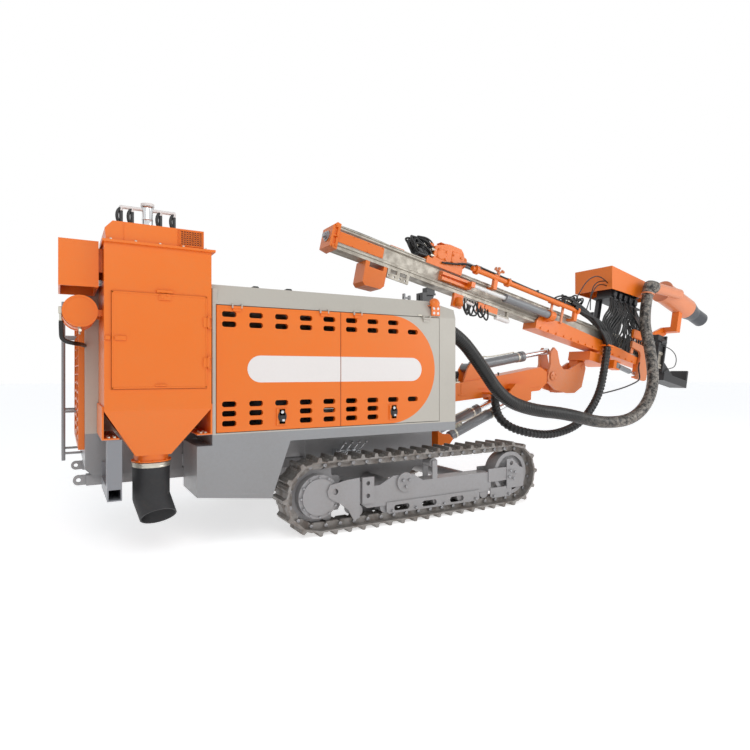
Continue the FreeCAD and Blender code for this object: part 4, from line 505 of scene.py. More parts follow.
# %% The rig's plain finishes
orange = painted("sprayed_enamel_orange", "#E6700F", dust="#C8803F", roughness=0.36, coat=0.12)
cast_orange = painted("sprayed_enamel_pink_orange", "#D9793F", dust="#C49478", roughness=0.4, dust_amount=0.4)
hood_grey = painted("powder_coat_light_grey", "#B7B2A8", dust="#A29C92", roughness=0.42, coat=0.1)
rail_grey = painted("sprayed_enamel_mid_grey", "#8F9092", dust="#77716A", roughness=0.4, low_dirt=0.3)
chassis_grey = painted("sprayed_enamel_dark_grey", "#9A999B", dust="#857E78", roughness=0.4, dust_amount=0.35,
                       low_dirt=0.25)
pale_band = painted("pale_enamel_band", "#E3DEDB", dust="#C5BDB5", roughness=0.34, dust_amount=0.1)
cylinder_grey = painted("sprayed_enamel_steel_grey", "#7B7D80", dust="#5F5C58", roughness=0.35,
                        dust_amount=0.3)
black_paint = painted("black_enamel", "#1C1C1F", dust="#4A4743", roughness=0.45, coat=0.1)
beam_alloy = steel("mill_finish_alloy_beam", "#B3ADA2", "#8B8174", roughness=0.42, metallic=0.55,
                   rust_amount=0.45)
track_steel = steel("worn_track_steel", "#8F8B87", "#6A5F57", roughness=0.45, metallic=0.45, rust_amount=0.8)
bare_steel = steel("machined_steel", "#9A9A9C", "#6B6259", roughness=0.32, metallic=0.9, rust_amount=0.25)
chrome = steel("hard_chrome", "#D9DBDD", "#B9B9B9", roughness=0.12, metallic=1.0, rust_amount=0.1,
               grain_mm=30)
zinc = steel("zinc_plated_steel", "#C9C5B8", "#A79F8C", roughness=0.3, metallic=0.85, rust_amount=0.3)
hose_black = rubber("hydraulic_hose_rubber", "#070708", roughness=0.38)
duct_rubber = rubber("ribbed_duct_rubber", "#080807", roughness=0.33, dust_from=(5.9, 6.9))
moulded_rubber = rubber("moulded_rubber", "#1E1E20", roughness=0.6)
# A dark red that stands for painted shade, in the gap between the doors and behind the cover's vent.
painted_shade_red = painted("painted_shade_dark_red", "#6B2B18", dust="#4A2A20", roughness=0.6, coat=0.0)
engine_paint = painted("engine_enamel", "#3B3D40", dust="#57524B", roughness=0.5)
print("plain finishes", len(bpy.data.materials))

# %% [markdown]
# Five solids carry two finishes: the collector's stand, the cyclone, the extension rod,
# the pulse valves and the feed's rest. Each split is a plane at a measured place.

# %% Finishes in two parts
STAND_SPLIT_Z, LEG_SPLIT_Z, PAD_SPLIT_Z = 1.029, 2.90, 2.44
stand_paint = painted("enamel_orange_over_grey", "#E6700F", dust="#C8803F", roughness=0.36, coat=0.12,
                      beyond=((0, 0, -1), -STAND_SPLIT_Z, "#85868A"))
CYCLONE_BODY = 0.722
cyclone_axis = FEED_TURN @ np.array([0.990268, 0, -0.139173])
cyclone_end = float(feed_rows([5982, -45, 1299]) @ cyclone_axis) + CYCLONE_BODY
cyclone_paint = painted("enamel_orange_with_rubber_tip", "#DD8558", dust="#CFA088", roughness=0.4,
                        beyond=(cyclone_axis.tolist(), cyclone_end, "#33363C"))
feed_axis = FEED_TURN @ np.array([1.0, 0, 0])
rod_start = float(feed_rows([1912, 0, 0]) @ feed_axis)
rod_paint = painted("enamel_orange_with_bright_rod", "#E6700F", dust="#C8803F", roughness=0.3,
                    beyond=(feed_axis.tolist(), rod_start, "#E2E2E0"))
pulse_paint = painted("pale_enamel_on_black_legs", "#E3DEDB", dust="#C5BDB5", roughness=0.34, dust_amount=0.1,
                      beyond=((0, 0, -1), -LEG_SPLIT_Z, "#17171A"))
rest_paint = painted("enamel_grey_with_rubber_pad", "#8F9092", dust="#77716A", roughness=0.42,
                     beyond=((0, 0, 1), PAD_SPLIT_Z, "#17171A"))
print("materials", len(bpy.data.materials))

# %% [markdown]
# Each CAD solid keeps its mesh and its place, and only gets its finish. Everything
# that isn't named in the list is sprayed orange.

# %% Finishes onto the CAD nodes
finish_of = {"track_left": track_steel, "track_right": track_steel, "sprockets": chassis_grey,
             "idlers": chassis_grey, "rollers": chassis_grey, "track_frame_left": chassis_grey,
             "track_frame_right": chassis_grey, "chassis": chassis_grey, "front_frame": chassis_grey,
             "rear_base": rail_grey, "deck": rail_grey, "side_tanks": rail_grey, "hood_roof": hood_grey,
             "hood_walls": hood_grey, "door_front_end_left": hood_grey, "door_front_end_right": hood_grey,
             "engine_block": engine_paint, "dust_spout": moulded_rubber, "ladder": rail_grey,
             "feed_beam": beam_alloy, "chuck": bare_steel, "lift_rods": chrome, "tilt_rod": chrome,
             "extension_rod": rod_paint, "swing_rod": chrome, "lift_barrels": cylinder_grey,
             "tilt_barrel": cylinder_grey, "extension_barrel": cylinder_grey, "swing_barrel": cylinder_grey,
             "dust_duct": duct_rubber, "hose_bundle": hose_black, "feed_rest": rest_paint,
             "drill_table": black_paint, "valve_block": black_paint, "hook_bracket": cast_orange,
             "boom_head": cast_orange, "dust_stand": stand_paint, "precleaner": cyclone_paint,
             "beam_guide": beam_alloy, "pulse_valves": pulse_paint, "rear_grille": orange,}
for name, obj in nodes.items():
    obj.data.materials.clear()
    obj.data.materials.append(finish_of.get(name, orange))
print("dressed", len(nodes), "nodes")

# %% [markdown]
# ## Camera
# The photograph was taken from the rear right corner at eye height with a wide lens.
# The yaw, height and focal length come from the vanishing lines of the hood and tracks.

# %% Camera
SENSOR_MM, PICTURE_PX, FOCAL_PX, HORIZON_ROW = 36.0, 750, 548, 372
CAMERA_PLACE, CAMERA_YAW = (0, -5950, 1560), 29.9
camera_data = bpy.data.cameras.new("camera")
camera_data.sensor_width = SENSOR_MM
camera_data.lens = SENSOR_MM * FOCAL_PX / PICTURE_PX
camera_data.shift_y = (HORIZON_ROW - PICTURE_PX / 2) / PICTURE_PX
camera_data.clip_end = 100
camera = bpy.data.objects.new("camera", camera_data)
bpy.context.scene.collection.objects.link(camera)
camera.location = Vector(at(*CAMERA_PLACE))
camera.rotation_euler = (math.radians(90), 0, math.radians(-CAMERA_YAW))
bpy.context.scene.camera = camera
print("lens", round(camera_data.lens, 2), "mm")

# %% [markdown]
# ## Hoses between hood, boom and feed
# Two large hoses hang in loops because the boom must be free to swing and the feed to
# tip. A few listed points give each route, and Blender's own curve rounds it.
# The ridges of a hose are then a formula of the distance along that line.


# %% Hose curves
def hose_curve(name, points, radius, material):
    """A quadratic spline that is tangent to each run of its route at the run's middle."""
    curve = bpy.data.curves.new(name, "CURVE")
    curve.dimensions = "3D"
    curve.resolution_u = 16
    curve.bevel_depth = radius
    curve.bevel_resolution = 5
    curve.use_fill_caps = True
    spline = curve.splines.new("NURBS")
    spline.points.add(len(points) - 1)
    spline.points.foreach_set("co", np.column_stack([points, np.ones(len(points))]).ravel())
    spline.order_u = 3
    spline.use_endpoint_u = True
    curve.materials.append(material)
    obj = bpy.data.objects.new(name, curve)
    bpy.context.scene.collection.objects.link(obj)
    return obj


def line_of(curve_obj):
    """The points that Blender's own evaluation of a curve gives when it has no bevel."""
    bare = curve_obj.copy()
    bare.data = curve_obj.data.copy()
    bare.data.bevel_depth = 0
    mesh = bpy.data.meshes.new_from_object(bare)
    points = np.array([v.co[:] for v in mesh.vertices])
    bpy.data.meshes.remove(mesh)
    curve = bare.data
    bpy.data.objects.remove(bare)
    bpy.data.curves.remove(curve)
    return points


def length_of(points):
    """The sum of the distances between neighbouring points."""
    return float(np.linalg.norm(np.diff(points, axis=0), axis=1).sum())


print("a metre rule measures", length_of(np.array([[0, 0, 0], [1.0, 0, 0]])), "m")

# %% [markdown]
# A hose's skin needs points at even steps, finer than its ridges. The line is measured
# along its length first, and the section then stands on each point with a radius that
# depends on the distance along and the angle around.


# %% Ridged tubes
def resampled(points, step):
    """The same line with points one step apart, each on the straight run between two given points."""
    travel = np.concatenate([[0], np.cumsum(np.linalg.norm(np.diff(points, axis=0), axis=1))])
    count = int(travel[-1] / step) + 1
    at_travel = np.linspace(0, travel[-1], count)
    return np.stack([np.interp(at_travel, travel, points[:, i]) for i in range(3)], -1), at_travel


def ridged_tube(name, line, step, around, radius_of, material, body):
    """A tube whose radius is a formula of the distance along it and the angle around it."""
    path, travel = resampled(line, step)
    tangent, normal, binormal = axes_along(path)
    angle = np.arange(around) / around * 2 * math.pi
    radius = radius_of(travel[:, None], angle[None, :])
    verts = (path[:, None, :] + radius[..., None] * (np.cos(angle)[None, :, None] * normal[:, None, :]
                                                     + np.sin(angle)[None, :, None] * binormal[:, None, :]))
    faces = [list(f) for f in grid_faces(len(path), around, wrap_cols=True)]
    faces.append(list(range(around))[::-1])
    faces.append([(len(path) - 1) * around + i for i in range(around)])
    return facing_out(make_piece(name, verts.reshape(-1, 3), faces, material, body))


print("a 1 m line in 10 mm steps has", len(resampled(np.array([[0, 0, 0], [1.0, 0, 0]]), 0.01)[0]), "points")

# %% [markdown]
# The suction duct of the dust collector is rubber round a wire helix. The wire lifts
# the skin every 27 mm, which the picture shows as fine rings.

# %% Ribbed duct
duct_route = rows_at([[3815, -790, 2110], [4090, -800, 2010], [4420, -828, 1650], [4730, -870, 1230],
                      [5190, -905, 1075], [5800, -950, 1010], [6450, -985, 850], [7180, -1000, 885],
                      [7680, -950, 1300], [7800, -800, 1920], [7926, -595, 2398], [8049, -595, 2779]])
WIRE_PITCH = 0.027
duct_guide = hose_curve("duct_guide", duct_route, 0.082, duct_rubber)
duct_line = line_of(duct_guide)
bpy.data.objects.remove(duct_guide)


def duct_radius(travel, angle):
    """A wire helix under the rubber: ridges 27 mm apart, one turn of slope around the tube."""
    phase = travel / WIRE_PITCH - angle / (2 * math.pi)
    return 0.0775 + 0.0045 * (0.5 + 0.5 * np.cos(2 * math.pi * phase)) ** 0.7


duct = ridged_tube("ribbed_duct", duct_line, 0.0068, 36, duct_radius, duct_rubber, "root")
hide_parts("dust_duct")
print("duct", round(length_of(duct_line), 3), "m")

# %% [markdown]
# The black bundle is the hydraulic supply of the feed. Four hoses run side by side in
# a flat spiral guard, whose edges stand out as a steep screw.

# %% Guarded hose bundle
GUARD_PITCH = 0.058
bundle_route = np.concatenate([
    feed_rows([[4612, -207, -5], [4612, -207, -335]]),
    rows_at([[6880, -600, 1200], [6440, -640, 820], [5900, -635, 690], [5460, -600, 735], [5180, -490, 830],
             [5035, -405, 1020], [5035, -405, 1262]])])
bundle_guide = hose_curve("bundle_guide", bundle_route, 0.057, hose_black)
bundle_line = line_of(bundle_guide)
bpy.data.objects.remove(bundle_guide)


def bundle_radius(travel, angle):
    """Four hoses show as four soft lobes, and the flat guard around them as a steep raised helix."""
    lobes = 0.049 + 0.003 * np.cos(4 * angle + 9 * travel)
    turn = (travel / GUARD_PITCH - angle / (2 * math.pi)) % 1.0
    guard = np.clip((0.27 - np.abs(turn - 0.5)) / 0.05, 0, 1)
    return lobes + guard * (0.057 - lobes)


bundle = ridged_tube("guarded_hose_bundle", bundle_line, 0.0058, 40, bundle_radius, hose_black,
                     body_of_node["hose_bundle"])
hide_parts("hose_bundle")
print("bundle", round(length_of(bundle_line), 3), "m")

# %% [markdown]
# A short rubber sleeve joins the duct to the cyclone. It is slipped over the elbow and
# is grey with dust, so it is the same ridged tube with straight rings and a dusty skin.

# %% Sleeve on the cyclone elbow
sleeve_rubber = rubber("dusty_sleeve_rubber", "#101012", roughness=0.5, dust_from=(3.0, 4.0))
elbow_guide = hose_curve("elbow_guide", feed_rows([[5267, -290, 1000], [5278, -290, 1110], [5284, -290, 1149],
                                                    [5330, -287, 1156], [5430, -281, 1171]]),
                         0.088, duct_rubber)
elbow_line = line_of(elbow_guide)
bpy.data.objects.remove(elbow_guide)


def sleeve_radius(travel, angle):
    """Straight rings 30 mm apart: a cosine of the distance along, the same all round."""
    return 0.0925 + 0.003 * np.cos(2 * math.pi * travel / 0.03) + 0 * angle


elbow = ridged_tube("cyclone_elbow_sleeve", elbow_line, 0.0068, 36, sleeve_radius, sleeve_rubber, "cradle")
print("sleeve", round(length_of(elbow_line), 3), "m")

# %% [markdown]
# ## Track chain
# A crawler track is a chain of links, with a plate bolted on each. The link pins show
# as round ends along both chain rows, and each shoe is held by four bolts. Both follow
# the pitch loop, which is two straight runs and two half circles.


# %% The pitch loop
PITCH_R, WHEELBASE, TRACK_REAR_X = 290.6, 2475.0, 2135.0
AXLE_Z = PITCH_R + 82
SHOE_PITCH = 154
SHOES = round((2 * WHEELBASE + 2 * math.pi * PITCH_R) / SHOE_PITCH)
TRACK_MID_Y = 1050.0


def on_loop(s, out):
    """Points and outward directions at lengths s of the loop, moved out by a distance."""
    total = 2 * WHEELBASE + 2 * math.pi * PITCH_R
    s = np.asarray(s, float) % total
    arc = math.pi * PITCH_R
    turn = np.clip((s - WHEELBASE) / arc, 0, 1) + np.clip((s - 2 * WHEELBASE - arc) / arc, 0, 1)
    angle = math.pi / 2 - math.pi * turn
    forward = np.clip(s, 0, WHEELBASE) - np.clip(s - WHEELBASE - arc, 0, WHEELBASE)
    normal = np.stack([np.cos(angle), np.sin(angle)], -1)
    centre = np.stack([TRACK_REAR_X + forward, np.full_like(s, AXLE_Z)], -1)
    return centre + normal * (PITCH_R + out), normal


pitch = (2 * WHEELBASE + 2 * math.pi * PITCH_R) / SHOES
print("shoes", SHOES, "pitch", round(pitch, 2), "mm")

# %% [markdown]
# Every link pin has a riveted end on both sides, and every shoe a row of four bolts
# whose heads stand on the outside of the loop.

# %% Pins and bolts along the loop
pin_ends, shoe_bolts = [], []
for side in (-1, 1):
    spots, _ = on_loop((np.arange(SHOES) + 0.5) * pitch, 0)
    for x, z in spots:
        for edge in (-86.5, 86.5):
            outward = math.copysign(1, edge)
            pin_ends.append(turned([(-2, 19), (3, 19), (5, 15), (5, 9), (2, 8)],
                                   [x, side * TRACK_MID_Y + edge, z], [0, outward, 0], 14))
    spots, normals = on_loop(np.arange(SHOES) * pitch - 38, 44)
    for (x, z), (nx, nz) in zip(spots, normals):
        for y in (-76, -30, 30, 76):
            shoe_bolts += hex_heads([[x, side * TRACK_MID_Y + y, z]], [nx, 0, nz], 24, 12)
fitted("track_link_pins", pin_ends, bare_steel, "root")
fitted("track_shoe_bolts", shoe_bolts, track_steel, "root")
print("pins", len(pin_ends), "bolts", len(shoe_bolts))

# %% [markdown]
# ## Doors and hood
# The four hood doors carry one long pale band with round ends on each side, broken at
# the seam between the doors. Each door has a black slam latch with a bright key
# barrel and a small chrome patch on its paddle, which is a painted highlight. A dark
# red strip in the gap between the two doors is painted shade.


# %% Stripes with round ends
def obround(x0, x1, z0, z1, left=True, right=True, count=16):
    """A stripe with half-round ends where asked: each end is a half circle of half the height."""
    r = (z1 - z0) / 2
    t = np.linspace(-math.pi / 2, math.pi / 2, count)
    end = [(x1 - r + r * math.cos(a), (z0 + z1) / 2 + r * math.sin(a))
           for a in t] if right else [(x1, z0), (x1, z1)]
    start = [(x0 + r - r * math.cos(a), (z0 + z1) / 2 - r * math.sin(a))
             for a in t] if left else [(x0, z1), (x0, z0)]
    return end + start


def face_of(side, proud):
    """The pair of y values for a thin piece on a door's outer face, on one side of the rig."""
    return sorted((side * 1199.0, side * (1200.0 + proud)))


print("a full stripe has", len(obround(0, 9, 0, 3)), "outline points")

# %% [markdown]
# Both sides get the same furniture, each piece on the door that carries it, so that it
# swings with its door.

# %% Doors of both sides
LATCH_X = (1752.0, 2947.0)
HEM_X = (1166, 2341, 2355)
for side, tag in ((-1, "right"), (1, "left")):
    for door, band in (("rear", obround(1434, 2346, 1467, 1707, right=False)),
                       ("front", obround(2354, 3295, 1467, 1707, left=False))):
        body = f"door_{door}_{tag}"
        fitted(f"band_{door}_{tag}", [prism(band, *face_of(side, 1.6))], pale_band, body)
        x = LATCH_X[door == "front"]
        y0, y1 = sorted((side * 1211, side * 1219))
        plate = prism(obround(x - 40, x + 40, 1090, 1222), y0, y1)
        paddle = block([x - 24, min(y0, side * 1226), 1108], [x + 24, max(y1, side * 1226), 1168], 5)
        fitted(f"latch_{door}_{tag}", [plate, paddle], black_paint, body)
        key = turned([(0, 15), (9, 15), (12, 12), (12, 6), (8, 5)], [x, side * 1214.5, 1196], [0, side, 0],
                     20)
        # A small chrome patch on the paddle is a painted highlight.
        shine = block([x - 4, side * 1224, 1112], [x + 20, side * 1226.9, 1132], 1.2)
        fitted(f"latch_key_{door}_{tag}", [key, shine], chrome, body)
    # A dark red strip in the gap between the two doors is painted shade.
    gap_shade = block([2346.5, side * 1176, 1042], [2353, side * 1198, 2132])
    rear_start, rear_end, front_start = (block([x, side * 1194, 1040], [x + 5, side * 1201.5, 2132], 1)
                                         for x in HEM_X)
    fitted(f"door_hems_{tag}", [rear_start, rear_end], orange, f"door_rear_{tag}")
    fitted(f"door_hem_front_{tag}", [front_start], orange, f"door_front_{tag}")
    fitted(f"door_gap_painted_shade_{tag}", [gap_shade], painted_shade_red, "root")

print("doors dressed with latches at", LATCH_X)

# %% [markdown]
# The roof carries two low vents, clips at the seams of its rain edge, and at its front a
# grey bracket with two posts beside the feed's rest. They are bent plate and bar.

# %% Roof furniture
roof_parts = [prism(obround(1535, 1600, 2318.5, 2352), -1015, -960),
              prism(obround(1858, 1925, 2318.5, 2352), -1015, -960)]
fitted("roof_vents_low", roof_parts, black_paint, "root")
seams = []
for side in (-1, 1):
    for x in (1144, 2350, 3536):
        seams.append(block([x - 3, side * 1138, 2150], [x + 3, side * 1201, 2156], 1))
clasp = [block([x - 26, -1204, 2150], [x + 26, -1199, 2162], 2) for x in (2528, 3276)]
fitted("roof_rain_clips", seams + clasp, zinc, "root")

bracket = [prism([(3120, 2319), (3330, 2319), (3330, 2352), (3150, 2340)], -520, -300),
           prism([(3180, 2340), (3420, 2335), (3420, 2352), (3200, 2392)], -500, -320),
           block([3638, -330, 2236], [3664, -290, 2520], 4), block([3716, -330, 2150], [3742, -290, 2500], 4),
           block([3638, -322, 2456], [3742, -300, 2482], 4)]
fitted("roof_bracket", bracket, rail_grey, "root")
print("roof clips", len(seams + clasp))

# %% [markdown]
# ## Corner lamp and controls
# At the hood's front corner a small orange plate carries four pale dots and a half-round
# marker lamp. Below the deck four chrome levers with ball knobs work the jacks.

# %% Lamp plate and levers
plate = prism([(3418, 2160), (3524, 2160), (3524, 2262), (3418, 2262)], -1215, -1199.5)
dome_profile = [(0, 58), (14, 57), (30, 50), (42, 38), (50, 20), (52, 4)]
dome = turned(dome_profile, [3468, -1190, 2290], [0.0, -1.0, 0.55], 28)
base = block([3400, -1203, 2262], [3532, -1130, 2270], 3)
fitted("corner_plate", [plate, dome, base], orange, "root")
dots = [turned([(0, 15), (4, 15), (6, 11)], [x, -1215, z], [0, -1, 0], 18) for x in (3445, 3497)
        for z in (2186, 2236)]
fitted("corner_dots", dots, pale_band, "root")
levers, knobs = [], []
for k, x in enumerate((2560, 2640, 2720, 2800)):
    foot = np.array([x, -700.0, 700.0])
    tip = np.array([x - 70.0, -1010.0, 838.0])
    way = (tip - foot) / np.linalg.norm(tip - foot)
    reach = float(np.linalg.norm(tip - foot))
    levers.append(turned([(0, 12), (40, 12), (44, 7), (reach - 8, 7), (reach, 5)], foot, way, 12))
    knobs.append(turned([(-4, 6), (4, 13), (16, 16), (28, 13), (34, 5)], tip, way, 16))
levers.append(block([2530, -712, 668], [2830, -640, 712], 5))
levers.append(block([2560, -660, 660], [2800, -540, 730], 5))
fitted("jack_levers", levers, chrome, "root")
fitted("jack_lever_knobs", knobs, bare_steel, "root")
print("levers", len(knobs), "lamp dots", len(dots))

# %% [markdown]
# ## Dust collector
# The filter box has a cover with an air vent, a door held by hasps, and a clamp ring
# over the rubber outlet. The pulse valves above the cover blow the filters clean.

# %% Dust collector fittings
vent = lattice([862, 2606], [1030, 2722], 9, 8, -1251.5, -1246.5, 5.5)
frame_bars = [block([850, -1256, 2596], [1042, -1244, 2604], 2),
              block([850, -1256, 2724], [1042, -1244, 2732], 2),
              block([850, -1256, 2604], [858, -1244, 2724], 2),
              block([1034, -1256, 2604], [1042, -1244, 2724], 2)]
ribs = [block([430, -1249.5, 2596], [440, -1243, 2732], 2),
        block([836, -1249.5, 2596], [842, -1243, 2732], 2)]
fitted("cover_vent_bars", vent + frame_bars + ribs, orange, "root")
# A dark red sheet behind the vent bars is painted shade in the vent's opening.
dark = [block([858, -1245.8, 2604], [1034, -1244.6, 2724])]
fitted("cover_vent_painted_shade", dark, painted_shade_red, "root")
lip_bolts = hex_heads([[x, y, 2588.5] for x in (340, 520, 700, 880, 1060) for y in (-1262, -562)],
                      [0, 0, 1], 16, 9)
fitted("cover_bolts", lip_bolts, zinc, "root")
print("vent bars", len(vent))

# %% [markdown]
# The collector's door closes the filter box. It has a folded edge all round, a hasp
# at its top and a latch at its side, whose keepers are welded to the box.

# %% Collector door
edge = [block([348, -1265.5, 1430], [360, -1261, 2188], 2),
        block([1056, -1265.5, 1430], [1068, -1261, 2188], 2),
        block([348, -1265.5, 2176], [1068, -1261, 2188], 2),
        block([348, -1265.5, 1430], [1068, -1261, 1442], 2)]
hasp = [prism([(690, 2140), (782, 2140), (782, 2170), (768, 2190), (704, 2190), (690, 2170)], -1274, -1262),
        block([703, -1280, 2150], [724, -1273, 2182], 2),
        turned([(0, 9), (14, 9)], [754, -1266, 2180], [0, -1, 0], 12)]
latch = [block([366, -1276, 1806], [452, -1262, 1844], 4),
         turned([(0, 9), (13, 9), (15, 6)], [376, -1265, 1826], [0, -1, 0], 16)]
low = [block([662, -1274, 1446], [752, -1262, 1462], 3),
       turned([(0, 8), (12, 8)], [707, -1266, 1454], [0, -1, 0], 12)]
fitted("dust_door_frame", edge + hasp + latch + low, orange, "dust_door")
fitted("dust_keeper", [block([672, -1272, 2197], [800, -1249, 2222], 4),
                       block([300, -1272, 1810], [338, -1249, 1842], 4)], orange, "root")
print("door edge bars", len(edge))

# %% [markdown]
# Below the box the dust falls through a flange into a rubber spout, held by a clamp
# ring. Bolts hold the tray, and the pulse valves above the cover have plated sockets
# round a bright air tank.

# %% Outlet, tray and pulse valves
clamp_profile = [(0, 148.5), (4, 151.5), (16, 148.5), (22, 151.5), (36, 151.5), (40, 148.5)]
fitted("spout_clamp", [turned(clamp_profile, [665, -1025, 776], [0, 0, 1], 64)], zinc, "root")
collar_profile = [(0, 137), (0, 158), (9, 158), (9, 137)]
fitted("outlet_flange", [turned(collar_profile, [665, -1025, 822], [0, 0, 1], 64)]
       + hex_heads([[665 + 149 * math.cos(a), -1025 + 149 * math.sin(a), 831] for a in np.arange(8)
                    * math.pi / 4], [0, 0, 1], 13, 8), orange, "root")
tray_bolts = hex_heads([[x, y, 1040.5] for x in (330, 372, 1035, 1075) for y in (-1190, -1090, -800)],
                       [0, 0, 1], 19, 12)
fitted("tray_bolts", tray_bolts, zinc, "root")
PULSE_X = (440, 525, 749, 860)
pulse = []
for x in PULSE_X:
    pulse.append(turned([(0, 24), (14, 24), (14, 17), (40, 17), (40, 22), (58, 22), (58, 16)],
                        [x, -950, 2739], [0, 0, 1], 20))
fitted("pulse_sockets", pulse, zinc, "root")
can = [turned([(0, 44), (6, 47), (12, 44), (100, 44), (106, 48), (112, 44), (206, 44), (214, 52)],
              [645, -950, 2740], [0, 0, 1], 40)]
fitted("pulse_tank_skin", can, chrome, "root")
print("tray bolts", len(tray_bolts), "pulse sockets", len(pulse))

# %% [markdown]
# ## Rear end
# Behind the dust collector the air tank has a drain valve and a gauge line, and a black
# hose runs from its valve block back into the hood.

# %% Rear fittings
valve = [block([-11, -1128, 2008], [14, -1076, 2062], 4),
         turned([(0, 11), (48, 11), (48, 15), (62, 15)], [6, -1102, 2008], [0, 0, -1], 14),
         turned([(0, 9), (14, 9)], [10, -1102, 2034], [1, 0, 0], 12)]
fitted("tank_valve", valve, zinc, "root")
drain = [turned([(0, 14), (26, 14), (26, 9), (60, 9)], [136, -1060, 1916], [0, 0, -1], 14),
         turned([(0, 6), (70, 6), (72, 11), (80, 11)], [136, -1060, 1868], [0, -1, 0.2], 12)]
fitted("tank_drain", drain, zinc, "root")


print("drain parts", len(drain))

# %% [markdown]
# Fixed hoses are Blender curves with a round bevel, one object for each set. Each
# route is a few given points, and the curve's own spline rounds it.


# %% Sets of fixed hoses
def hose_set(name, routes, radius, material, body, on_feed=False):
    """Short fixed hoses as one curve object with one smooth spline for each route."""
    curve = bpy.data.curves.new(name, "CURVE")
    curve.dimensions = "3D"
    curve.resolution_u = 8
    curve.bevel_depth = radius
    curve.bevel_resolution = 3
    curve.use_fill_caps = True
    for route in routes:
        points = feed_rows(route) if on_feed else rows_at(route)
        spline = curve.splines.new("NURBS")
        spline.points.add(len(points) - 1)
        spline.points.foreach_set("co", np.column_stack([points, np.ones(len(points))]).ravel())
        spline.order_u = 3
        spline.use_endpoint_u = True
    curve.materials.append(material)
    obj = bpy.data.objects.new(name, curve)
    bpy.context.scene.collection.objects.link(obj)
    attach(obj, body)
    return obj


hose_set("tank_hose", [[[8, -1102, 1954], [8, -1102, 1880], [14, -1090, 1800], [120, -1060, 1780],
                        [150, -900, 1786], [192, -500, 1790]]], 0.017, hose_black, "root")
hose_set("pulse_hoses", [[[x, -950, 2925], [x - 34, -962, 2900], [x - 30, -972, 2800], [x, -950, 2786]]
                         for x in PULSE_X], 0.013, hose_black, "root")
print("rear fittings", len(valve + drain))

# %% [markdown]
# ## Hoses and fittings on the feed
# A drilling feed is covered in hydraulic plumbing. Hoses of one set never lie alike, so
# each route gets a small random shift from one seeded source. Two rules keep them
# tidy: they stay under the rig's highest solid, and out of the rotary head's way.


# %% Routes of a hose set
def nest(starts, ends, lifts, spread):
    """Arched routes: each leaves its start, passes lifted and scattered points, and comes down at its end."""
    routes = []
    for start, end, lift in zip(starts, ends, lifts):
        start, end, lift = (np.asarray(p, float) for p in (start, end, lift))
        jitter = rng.normal(0, spread, (2, 3))
        routes.append([start, start + lift * 0.55 + jitter[0] * 0.4, (start + end) / 2 + lift + jitter[0],
                       end + lift * 0.55 + jitter[1], end])
    return routes


HOSE_TOP = 3228.0


def kept_low(routes, top=HOSE_TOP):
    """Lowers points that would stand over the rig's highest solid: w is at most (top - z0 + u sin) / cos."""
    out = []
    for route in routes:
        route = np.array(route, float)
        limit = (top - FEED_ORIGIN[2] + route[:, 0] * math.sin(FEED_SLOPE)) / math.cos(FEED_SLOPE)
        route[:, 2] = np.minimum(route[:, 2], limit)
        out.append(route)
    return out


HEAD_LOW, HEAD_HIGH, HEAD_SIDE = 250, 700, -120


def beside_head(routes, clear=-150.0):
    """Moves points at the rotary head's height aside: v is at most clear + 0.3 times its distance to the side."""
    out = []
    for route in routes:
        route = np.array(route, float)
        inside = (route[:, 2] > HEAD_LOW) & (route[:, 2] < HEAD_HIGH)
        aside = np.minimum(route[:, 1], clear + (route[:, 1] - HEAD_SIDE) * 0.3)
        route[:, 1] = np.where(inside, aside, route[:, 1])
        out.append(route)
    return out


print("hose lines stay under", HOSE_TOP, "mm")

# %% [markdown]
# Each hose ends in a crimped ferrule and a hexagon nut of plated steel, both turned.


# %% Hose fittings
def fittings(places, ways, radius):
    """A crimped ferrule and a hexagon nut on each hose end."""
    out = []
    for place, way in zip(places, ways):
        out.append(turned([(0, radius * 1.35), (radius * 2.4, radius * 1.35), (radius * 2.8, radius)],
                          place, way, 12))
        out.append(turned([(-radius * 1.4, radius * 1.5), (0, radius * 1.5)], place, way, 6))
    return out


print("a fitting has", len(fittings([[0, 0, 0]], [[0, 0, 1]], 15)), "parts")

# %% [markdown]
# The rotary head, or drifter, has a black oil manifold at its back, and a nest of
# hoses springs from it. A few tall ones arch over the rest.

# %% Hoses behind the rotary head
manifold = [block([1075, -78, 316], [1285, 78, 400], 10), block([1110, -60, 398], [1240, 60, 455], 8)]
fitted("drifter_manifold", manifold, black_paint, "drifter", on_feed=True)
starts = [[1292, v, w] for v in (-90, -45, 0, 45, 90)
          for w in (352, 430)] + [[1100 + 30 * k, 0, 450] for k in range(5)]
ends = [[1085, v, w] for v in (-60, -30, 0, 30, 60)
        for w in (340, 372)] + [[1120 + 28 * k, -70, 345] for k in range(5)]
lifts = [[-150 - 20 * (k % 4), -30 + 12 * (k % 5), 110 + 26 * (k % 5)] for k in range(15)]
hose_set("drifter_hoses", kept_low(nest(starts, ends, lifts, 26)), 0.0125, hose_black, "drifter",
         on_feed=True)
tall = [[[1150, v, 452], [1120, v, 560], [1140 + 3 * v, v - 30, 628], [1220, v - 20, 560], [1296, v, 500]]
        for v in (-50, 0, 50)]
hose_set("drifter_tall_hoses", kept_low(tall), 0.010, hose_black, "drifter", on_feed=True)
fitted("drifter_fittings", fittings(starts, [[-1, 0, 0]] * 10 + [[0, 0, 1]] * 5, 15), zinc, "drifter",
       on_feed=True)
print("hoses behind the head", len(starts) + len(tall))

# %% [markdown]
# The head's own casting has covers, a bearing cap and bolts. They are turned and
# sawn forms, painted with the casting.

